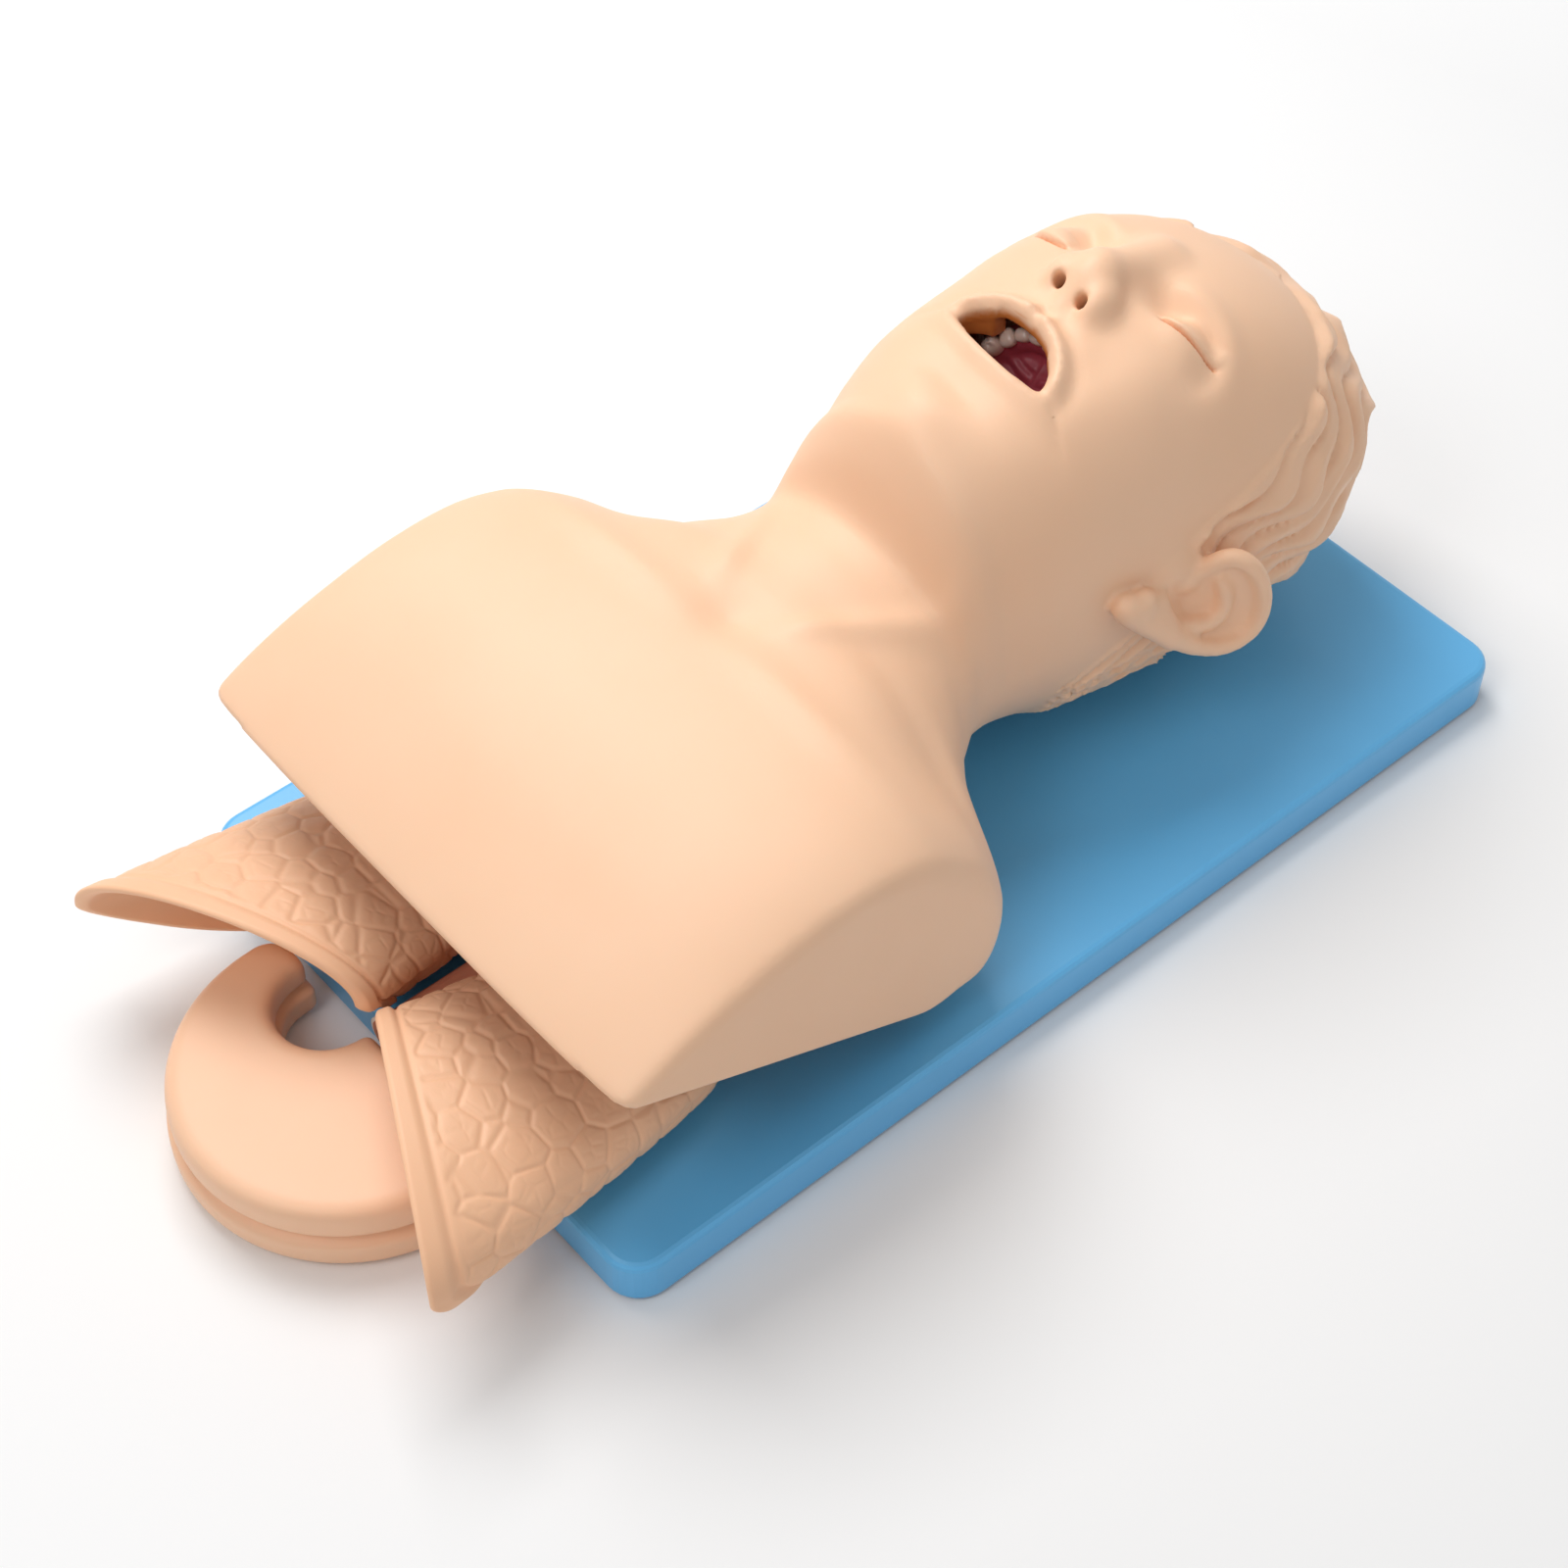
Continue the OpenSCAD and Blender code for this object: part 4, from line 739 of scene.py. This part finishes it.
@dataclass
class Lung:
    """A moulded lung: a tiled outside, a rolled rim round its slanting base, and a hollow inside it."""

    board_top: float
    side: int
    width: float = 116.0
    height: float = 56.0
    hollow: float = 40.0
    medial_x: float = 3.0
    apex_y: float = -158.0
    base_y: float = -250.0
    splay: float = 0.5
    scoop: float = 26.0
    cell: float = 14.0
    around: int = 380
    along: int = 240

    def surface(self, u: np.ndarray, a: np.ndarray, k: np.ndarray, sink: np.ndarray) -> np.ndarray:
        """Point of the lung at u from tip to base and angle a, drawn in by k and pushed back by sink.

        Across, it is an oval: half width times the cosine and half height times the sine, each to a power
        that squares it. Both grow with u, and the base slants away from the middle and over the stomach.

        Args:
            u: part of the way from tip to base.
            a: angle round the lung.
            k: part of the full size of the oval.
            sink: how far the point goes into the base's hollow.

        Returns:
            The places, with x, y and z last.
        """
        grow = 0.72 + 0.28 * u ** 0.7
        bend = np.where(np.sin(a) > 0, 0.95, 0.8)
        hw, h = self.width / 2 * grow, self.height / 2 * (0.62 + 0.38 * u)
        sin, cos = np.sin(a), np.cos(a)
        z = self.board_top + 0.3 + h + h * k * np.sign(sin) * np.abs(sin) ** bend
        past_gullet = (10.7 + 30 * (1 - k)) * ease((self.board_top + 28.3 - z) / 8)
        x = self.medial_x + 12 * (1 - u) + hw + hw * k * np.sign(cos) * np.abs(cos) ** bend
        x = np.maximum(x, past_gullet)
        over_stomach = 26 * np.exp(-((x - 58) / 30) ** 2) * np.minimum(1, 1.6 * np.maximum(-sin, 0))
        end = self.base_y - self.splay * (x - self.medial_x)
        end = end + (self.scoop * np.maximum(-sin, 0) + over_stomach) * k
        return np.stack([x, self.apex_y + u * (end - self.apex_y) + sink, z], -1)

    def build(self) -> bpy.types.Object:
        """Lays the outside, the rolled rim and the bowl as one grid, then carves the tiles into it.

        A tile's border is a bell over the distance to the nearest edge of a cell, taken off along the
        normal, with the middle of the tile a little raised and finer creases across it.

        Returns:
            The lung.
        """
        a = np.linspace(0, 2 * math.pi, self.around, endpoint=False)[None, :]
        n = self.along
        tip = np.linspace(0, 1, 14)[:, None]
        rows = [(0.02 * tip ** 2, 0.05 + 0.93 * np.sin(tip * math.pi / 2), 0 * tip)]
        t = np.linspace(0, 1, n)[1:, None]
        rim = ease((t - 0.93) / 0.03)
        groove = np.exp(-((t - 0.925) / 0.012) ** 2)
        rows.append((0.02 + 0.98 * t, 0.98 + 0.022 * rim - 0.022 * groove, 0 * t))
        roll = np.linspace(0, 1, 14)[1:, None]
        turn = roll * math.pi
        rows.append((1 + 0 * roll, 1.002 - 0.05 * (1 - np.cos(turn)), -2.2 * np.sin(turn)))
        bowl = np.linspace(0, 1, 40)[1:, None]
        rows.append((1 + 0 * bowl, 0.902 * np.cos(bowl * 1.45), self.hollow * np.sin(bowl * math.pi / 2)))
        u, k, sink = (np.concatenate([r[i] for r in rows]) for i in range(3))
        p = self.surface(u, a, k, sink)
        count = p.shape[0]
        tiled = np.zeros((count, 1))
        tiled[8:14 + n - 18] = 1
        tiled = tiled * (ease((u - 0.01) / 0.05) * ease((0.915 - u) / 0.03))
        across = np.roll(p, -1, 1) - np.roll(p, 1, 1)
        down = np.gradient(p, axis=0)
        normal = np.cross(down, across)
        normal /= np.linalg.norm(normal, axis=-1, keepdims=True) + 1e-9
        edge = cell_edges(p.reshape(-1, 3), self.cell).reshape(p.shape[:2])
        fine = cell_edges(p.reshape(-1, 3) + 40, self.cell * 0.55).reshape(p.shape[:2])
        carve = 0.25 * ease(edge / 3.5) - 0.55 * np.exp(-(edge / 0.75) ** 2)
        carve = carve - 0.2 * np.exp(-(fine / 0.5) ** 2) * ease((edge - 1) / 2)
        p = p + (carve * tiled)[..., None] * normal * self.outwards(p, normal)
        if self.side < 0:
            p[..., 0] *= -1
        points = np.concatenate([p.reshape(-1, 3), p[:1].mean((0, 1))[None], p[-1:].mean((0, 1))[None]])
        faces = grid_faces(count, self.around)
        i = np.arange(self.around)
        k = (i + 1) % self.around
        first = np.stack([k, i, np.full_like(i, len(points) - 2)], 1)
        last = (count - 1) * self.around
        end = np.stack([last + i, last + k, np.full_like(i, len(points) - 1)], 1)
        if self.side < 0:
            faces, first, end = faces[:, ::-1], first[:, ::-1], end[:, ::-1]
        node = "left_lung" if self.side > 0 else "right_lung"
        return make_piece(node + "_tiled", points, faces.tolist() + first.tolist() + end.tolist(), LUNG,
                          "manikin", (node,))

    def outwards(self, p: np.ndarray, normal: np.ndarray) -> float:
        """One or minus one, so that normals point away from the lung's middle line."""
        middle = p[20:80].mean(1, keepdims=True)
        return float(np.sign(((p[20:80] - middle) * normal[20:80]).sum()))


@dataclass
class Stomach:
    """A flat stomach of two welded halves: rounded above, a groove at half height and a bay at the top."""

    middle_y: float = -264.0
    radius: float = 71.0
    top_y: float = -250.0
    bay_x: float = -29.0
    bay_half: float = 21.0
    height: float = 34.0

    def build(self) -> bpy.types.Object:
        """Meshes the outline's distance, rounded off against half the height above and below.

        In plan it is a disc and a square head, less a round bay that opens at the top. A bell about half
        the height draws the walls in for the seam, and the lower half stands out a little.

        Returns:
            The stomach.
        """
        xs = graded([(-78, 1.25)], 78)
        ys = graded([(-342, 1.25)], -240)
        zs = graded([(-2, 0.8)], 38)
        x, y, z = xs[:, None, None], ys[None, :, None], zs[None, None, :]
        disc = np.hypot(x, y - self.middle_y) - self.radius
        stem = np.maximum(np.abs(x) - self.radius, np.maximum(y - self.top_y, self.middle_y - y))
        plan = smooth_max(smooth_min(disc, stem, 1), y - self.top_y + 0 * disc, 12)
        neck = 3.0 * ease((y + 262) / 14)
        bay = smooth_min(np.hypot(x - self.bay_x, y - self.middle_y - 9) - self.bay_half,
                         np.maximum(np.abs(x - self.bay_x) - self.bay_half + neck, self.middle_y + 9 - y), 2)
        plan = smooth_max(plan, -bay, 5)
        half = self.height / 2
        seam = np.exp(-((z - half) / 2.2) ** 2) * 3.4
        low = 1.6 * ease((half - z) / 4)
        walls = plan + seam - low * (plan > -6)
        caps = np.abs(z - half) - half
        solid = smooth_max(walls, caps + 0 * walls, 8)
        points, faces = level_surface((xs, ys, zs), solid)
        return make_piece("stomach_two_halves", points, faces, STOMACH, "manikin",
                          ("stomach",))


# The mouth


@dataclass
class Jaw:
    """The teeth of one jaw on a horseshoe in plan, and for the upper one its gum and palate."""

    upper: bool
    face_y: float
    arch_z: float
    width: float
    leg: float = 0.0
    gum_h: float = 0.0
    back_y: float = 0.0
    tilt: float = 0.0
    lift: float = 0.0
    tooth_w: float = 8.0
    tooth_h: float = 8.0
    teeth: int = 7
    band: float = 13.0

    def plan(self, x: np.ndarray, z: np.ndarray) -> np.ndarray:
        """Distance in plan from the line of teeth: a half circle with two straight legs."""
        r = self.width / 2 - self.band / 2
        return np.where(z > self.arch_z, np.abs(np.hypot(x, z - self.arch_z) - r), np.abs(np.abs(x) - r))

    def outline(self, x: np.ndarray, z: np.ndarray) -> np.ndarray:
        """Distance in plan to the jaw's outer edge, negative inside."""
        r = self.width / 2
        d = np.where(z > self.arch_z, np.hypot(x, z - self.arch_z) - r, np.abs(x) - r)
        return smooth_max(d, self.arch_z - self.leg - z + 0 * d, 4)

    def turned(self, points: np.ndarray) -> np.ndarray:
        """Turns points about the front teeth, so that the molars come forwards, and lifts them."""
        out = points.copy()
        y, z = points[:, 1] - self.face_y, points[:, 2] - self.arch_z - self.width / 2
        c, s = math.cos(math.radians(self.tilt)), math.sin(math.radians(self.tilt))
        out[:, 1] = self.face_y + self.lift + c * y + s * z
        out[:, 2] = self.arch_z + self.width / 2 - s * y + c * z
        return out

    def build_gum(self) -> bpy.types.Object:
        """Meshes the upper gum on its plate; the palate is vaulted and crossed by low ridges.

        The gum is a round bead along the line of the teeth, joined to a plate under it. The plate rises
        towards the sides by a parabola, and the ridges on it are the size of a sine, bent by a slower one.

        Returns:
            The palate with its gum.
        """
        w = self.width / 2 + 2
        xs = graded([(-w, 0.8)], w)
        zs = graded([(self.arch_z - self.leg - 2, 0.8)], self.arch_z + w)
        ys = graded([(self.face_y - 2, 0.7)], self.back_y + 2)
        x, y, z = xs[:, None, None], ys[None, :, None], zs[None, None, :]
        depth = y - self.face_y
        total = self.back_y - self.face_y
        line, edge = self.plan(x, z), self.outline(x, z)
        ridge = np.hypot(line, np.maximum(self.gum_h * 0.75 - depth, 0) * 0.75) - 5.6
        bar = np.maximum(line - 5.8, self.gum_h * 0.7 - depth)
        gum = np.maximum(np.minimum(ridge, bar), edge)
        inner = np.clip(1 - (x / 15) ** 2, 0, 1)
        along = self.arch_z + 12 - z
        fold = np.abs(np.sin(along * math.pi / 5.2 + 0.5 * np.sin(x / 3.4) + 0.9 * np.abs(x) / 9)) ** 1.4
        fold = fold * ease((along - 1) / 4) * ease((30 - along) / 8) * ease((np.abs(x) - 0.6) / 2.5)
        vault = 2.5 * inner - 1.1 * fold - 0.5 * np.exp(-x ** 2)
        plate = np.maximum(0.5 * self.gum_h + vault - depth, edge)
        solid = smooth_min(gum + 0 * depth, plate, 2.5)
        solid = np.maximum(solid, depth - total)
        points, faces = level_surface((xs, ys, zs), solid)
        return make_piece("palate_and_gum", self.turned(points), faces, PALATE, "manikin",
                          ("upper_jaw",))

    def build_teeth(self) -> bpy.types.Object:
        """Sets rounded crowns along the arch.

        A crown is a ball whose sines and cosines are taken to a power that squares it, and the back ones
        have two low cusps from the cosine of twice the angle round them.

        Returns:
            The row of teeth.
        """
        r = self.width / 2 - self.band / 2
        rows, cols = 15, 24
        v = np.linspace(-math.pi / 2, math.pi / 2, rows)[:, None]
        u = np.linspace(0, 2 * math.pi, cols, endpoint=False)[None, :]
        power = 0.72
        cu, su = (np.sign(f) * np.abs(f) ** power for f in (np.cos(u), np.sin(u)))
        cv, sv = np.cos(v) ** power, np.sign(np.sin(v)) * np.abs(np.sin(v)) ** power
        tip = -1 if self.upper else 1
        points, faces = [], []
        for side in (-1, 1):
            for i in range(self.teeth):
                s = (i + 0.5) * self.tooth_w
                turn = min(s / r, math.pi / 2)
                lead = max(s - r * math.pi / 2, 0)
                mid = (side * r * math.sin(turn), r * math.cos(turn) - lead)
                wide = self.tooth_w * (0.5 if i < 3 else 0.54)
                tall = self.tooth_h * (0.55 if i < 3 else 0.85)
                deep = 2.9 if i < 2 else 3.9
                cusps = 0.6 * np.cos(2 * u) * ease(sv * 2) if i > 2 else 0
                a, b = wide * cu * cv, deep * su * cv
                cs, sn = math.cos(turn), side * math.sin(turn)
                x = mid[0] + a * cs + b * sn
                z = mid[1] - a * sn + b * cs
                y = self.face_y + tip * (tall * (0.35 + 0.65 * sv) + cusps) + 0 * x
                points.append(np.stack([x, y, self.arch_z + z], -1).reshape(-1, 3))
                f = grid_faces(rows, cols)
                faces.append((f if tip < 0 else f[:, ::-1]) + (len(points) - 1) * rows * cols)
        name = "upper_crowns" if self.upper else "lower_crowns"
        node = "upper_teeth" if self.upper else "lower_teeth"
        piece = make_piece(name, self.turned(np.concatenate(points)), np.concatenate(faces), TEETH,
                           "manikin" if self.upper else "jaw", (node,))
        close_poles(piece)
        return piece


def close_poles(piece: bpy.types.Object) -> None:
    """Merges the doubled points at the poles of a piece and turns its faces outwards."""
    mesh = bmesh.new()
    mesh.from_mesh(piece.data)
    bmesh.ops.remove_doubles(mesh, verts=mesh.verts, dist=0.02 * MM)
    bmesh.ops.recalc_face_normals(mesh, faces=mesh.faces)
    mesh.to_mesh(piece.data)
    mesh.free()


@dataclass
class Tongue:
    """A soft tongue that lies in the floor of the lower jaw, with a furrow along its middle."""

    low: Vector
    high: Vector

    def build(self) -> bpy.types.Object:
        """Meshes a tapering blade between the corners of the CAD tongue.

        Across, it is half an ellipse, narrower and lower towards the tip, less a bell along the middle.

        Returns:
            The tongue.
        """
        lo, hi = np.array(self.low) / MM, np.array(self.high) / MM
        axes = tuple(graded([(a - 1.5, 0.8)], b + 1.5) for a, b in zip(lo, hi))
        x, y, z = axes[0][:, None, None], axes[1][None, :, None], axes[2][None, None, :]
        t = np.clip((z - lo[2]) / (hi[2] - lo[2]), 0, 1)
        half, tall = (hi[0] - lo[0]) / 2, hi[1] - lo[1]
        width = half * (0.98 - 0.28 * t ** 2)
        height = tall * (0.62 + 0.38 * np.sin(math.pi * np.clip(t * 0.9 + 0.12, 0, 1)) - 0.25 * t)
        furrow = 0.9 * np.exp(-(x / 1.8) ** 2)
        level = np.sqrt((x / width) ** 2 + np.maximum((y - lo[1] + furrow) / height, 0) ** 2) - 1
        solid = smooth_max(level * 8, lo[1] - y + 0 * level, 1.5)
        ends = np.maximum(lo[2] - z, (z - hi[2]) + 6)
        solid = smooth_max(solid, ends + 0 * solid, 9)
        points, faces = level_surface(axes, solid)
        return make_piece("soft_tongue", points, faces, TONGUE, "jaw", ("tongue",))


# Studio


@dataclass
class Studio:
    """Floor, lamps and the camera at the photograph's angle."""

    lens: float = 67.3
    sensor: float = 36.0
    place: tuple = (0.60134, -0.55841, 0.94698)
    aim: tuple = (0.01364, -0.05877, 0.05143)
    floor_half: float = 6.0
    fade: tuple = (0.6, 2.4)
    fade_glow: float = 0.75
    air_light: float = 0.44
    lamps: tuple = (("overhead lamp", (-0.8, 0.1, 1.5), 1.0, 20.0),
                    ("front lamp", (0.1, -1.2, 1.6), 0.7, 6.0), ("side lamp", (1.7, 0.6, 0.9), 0.8, 0.6))

    def build(self) -> None:
        """Makes the floor, the lamps, the world and the camera, and sets the plain view."""
        scene = bpy.context.scene
        self.lay_floor(scene)
        self.hang_lamps(scene)
        self.fill_air(scene)
        scene.view_settings.view_transform = "Standard"
        self.set_camera(scene)

    def lay_floor(self, scene: bpy.types.Scene) -> None:
        """Lays pale paper that the camera sees whiter with the distance from the object."""
        mesh = bpy.data.meshes.new("studio_floor")
        s = self.floor_half
        mesh.from_pydata([(-s, -s, 0), (s, -s, 0), (s, s, 0), (-s, s, 0)], [], [(0, 1, 2, 3)])
        floor = bpy.data.objects.new("studio_floor", mesh)
        scene.collection.objects.link(floor)
        pale = bpy.data.materials.new("pale paper floor")
        pale.use_nodes = True
        shader = pale.node_tree.nodes["Principled BSDF"]
        shader.inputs["Base Color"].default_value = linear("#f4f4f4")
        shader.inputs["Roughness"].default_value = 0.9
        shader.inputs["Specular IOR Level"].default_value = 0.1
        shader.inputs["Emission Color"].default_value = (1, 1, 1, 1)
        where = add_node(pale.node_tree, "ShaderNodeNewGeometry")
        reach = add_node(pale.node_tree, "ShaderNodeVectorMath", {0: where.outputs["Position"]},
                         operation="LENGTH")
        far = add_node(pale.node_tree, "ShaderNodeMapRange", {
            "Value": reach.outputs["Value"], "From Min": self.fade[0], "From Max": self.fade[1],
            "To Min": 0.0, "To Max": self.fade_glow})
        path = add_node(pale.node_tree, "ShaderNodeLightPath")
        seen = add_node(pale.node_tree, "ShaderNodeMath", {
            0: far.outputs["Result"], 1: path.outputs["Is Camera Ray"]}, operation="MULTIPLY")
        pale.node_tree.links.new(seen.outputs["Value"], shader.inputs["Emission Strength"])
        mesh.materials.append(pale)

    def hang_lamps(self, scene: bpy.types.Scene) -> None:
        """Hangs the square soft lamps, all turned to the middle of the board."""
        for name, at, size, power in self.lamps:
            lamp = bpy.data.lights.new(name, "AREA")
            lamp.size = size
            lamp.energy = power
            holder = bpy.data.objects.new(name, lamp)
            holder.location = at
            holder.rotation_euler = (-Vector(at) + Vector((0, 0, 0.1))).to_track_quat("-Z", "Y").to_euler()
            scene.collection.objects.link(holder)

    def fill_air(self, scene: bpy.types.Scene) -> None:
        """Makes a world that is white to the camera and in gloss, and lights the object weakly."""
        world = bpy.data.worlds.new("studio air")
        world.use_nodes = True
        tree = world.node_tree
        back = tree.nodes["Background"]
        back.inputs["Color"].default_value = (1, 1, 1, 1)
        path = add_node(tree, "ShaderNodeLightPath")
        either = add_node(tree, "ShaderNodeMath", {
            0: path.outputs["Is Camera Ray"], 1: path.outputs["Is Glossy Ray"]}, operation="MAXIMUM")
        level = add_node(tree, "ShaderNodeMix", {
            "Factor": either.outputs["Value"], "A": self.air_light, "B": 1.0})
        tree.links.new(level.outputs["Result"], back.inputs["Strength"])
        scene.world = world

    def set_camera(self, scene: bpy.types.Scene) -> None:
        """Stands the camera where the photograph was taken from."""
        camera = bpy.data.cameras.new("photo camera")
        camera.lens = self.lens
        camera.sensor_width = self.sensor
        camera.clip_start = 0.05
        holder = bpy.data.objects.new("photo camera", camera)
        holder.location = self.place
        holder.rotation_euler = (Vector(self.aim) - Vector(self.place)).to_track_quat("-Z", "Y").to_euler()
        scene.collection.objects.link(holder)
        scene.camera = holder


@dataclass
class CadParts:
    """CAD nodes that stay as they are and only get a finish."""

    nodes: dict
    finishes: dict = field(default_factory=lambda: {
        "base_board": BOARD, "rubber_feet": RUBBER, "foot_screws": STEEL, "skull_frame": FRAME_PLASTIC,
        "skull_screws": STEEL, "lower_jaw": GUM, "jaw_pins": STEEL, "nasal_passages": AIRWAY,
        "throat": AIRWAY, "epiglottis": AIRWAY, "larynx": AIRWAY, "vocal_cords": CORD,
        "windpipe": AIRWAY, "gullet": AIRWAY,
        "bronchial_fork": AIRWAY, "hose_clips": STEEL, "tube_stand": FRAME_PLASTIC, "stand_screws": STEEL,
        "neck_cradle": FRAME_PLASTIC, "cradle_screws": STEEL, "lung_collars": CORD, "stomach_collar": CORD})

    def dress(self) -> None:
        """Gives each kept node its material in place of the plain one."""
        for name, finish in self.finishes.items():
            mesh = self.nodes[name].data
            mesh.materials.clear()
            mesh.materials.append(finish.material())
            log.info("%s: %s", name, finish.name)


def main() -> None:
    """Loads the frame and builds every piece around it."""
    logging.basicConfig(level=logging.INFO, format="%(name)s: %(message)s")
    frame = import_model()
    board_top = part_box("base_board")[1].z / MM
    SoftSkin(board_top).build()
    for side in (1, -1):
        Lung(board_top, side).build()
    Stomach().build()
    palate_lo, palate_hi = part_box("upper_jaw")
    upper = Jaw(True, palate_lo.y / MM, palate_hi.z / MM - 27, 54, leg=10, gum_h=9,
                back_y=palate_hi.y / MM - 6, tilt=42, lift=8, tooth_w=7, teeth=6)
    upper.build_gum()
    upper.build_teeth()
    lower_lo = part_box("lower_teeth")[0]
    Jaw(False, lower_lo.y / MM, palate_hi.z / MM - 39, 51).build_teeth()
    Tongue(*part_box("tongue")).build()
    CadParts(frame["nodes"]).dress()
    Studio().build()


if __name__ == "__main__":
    main()
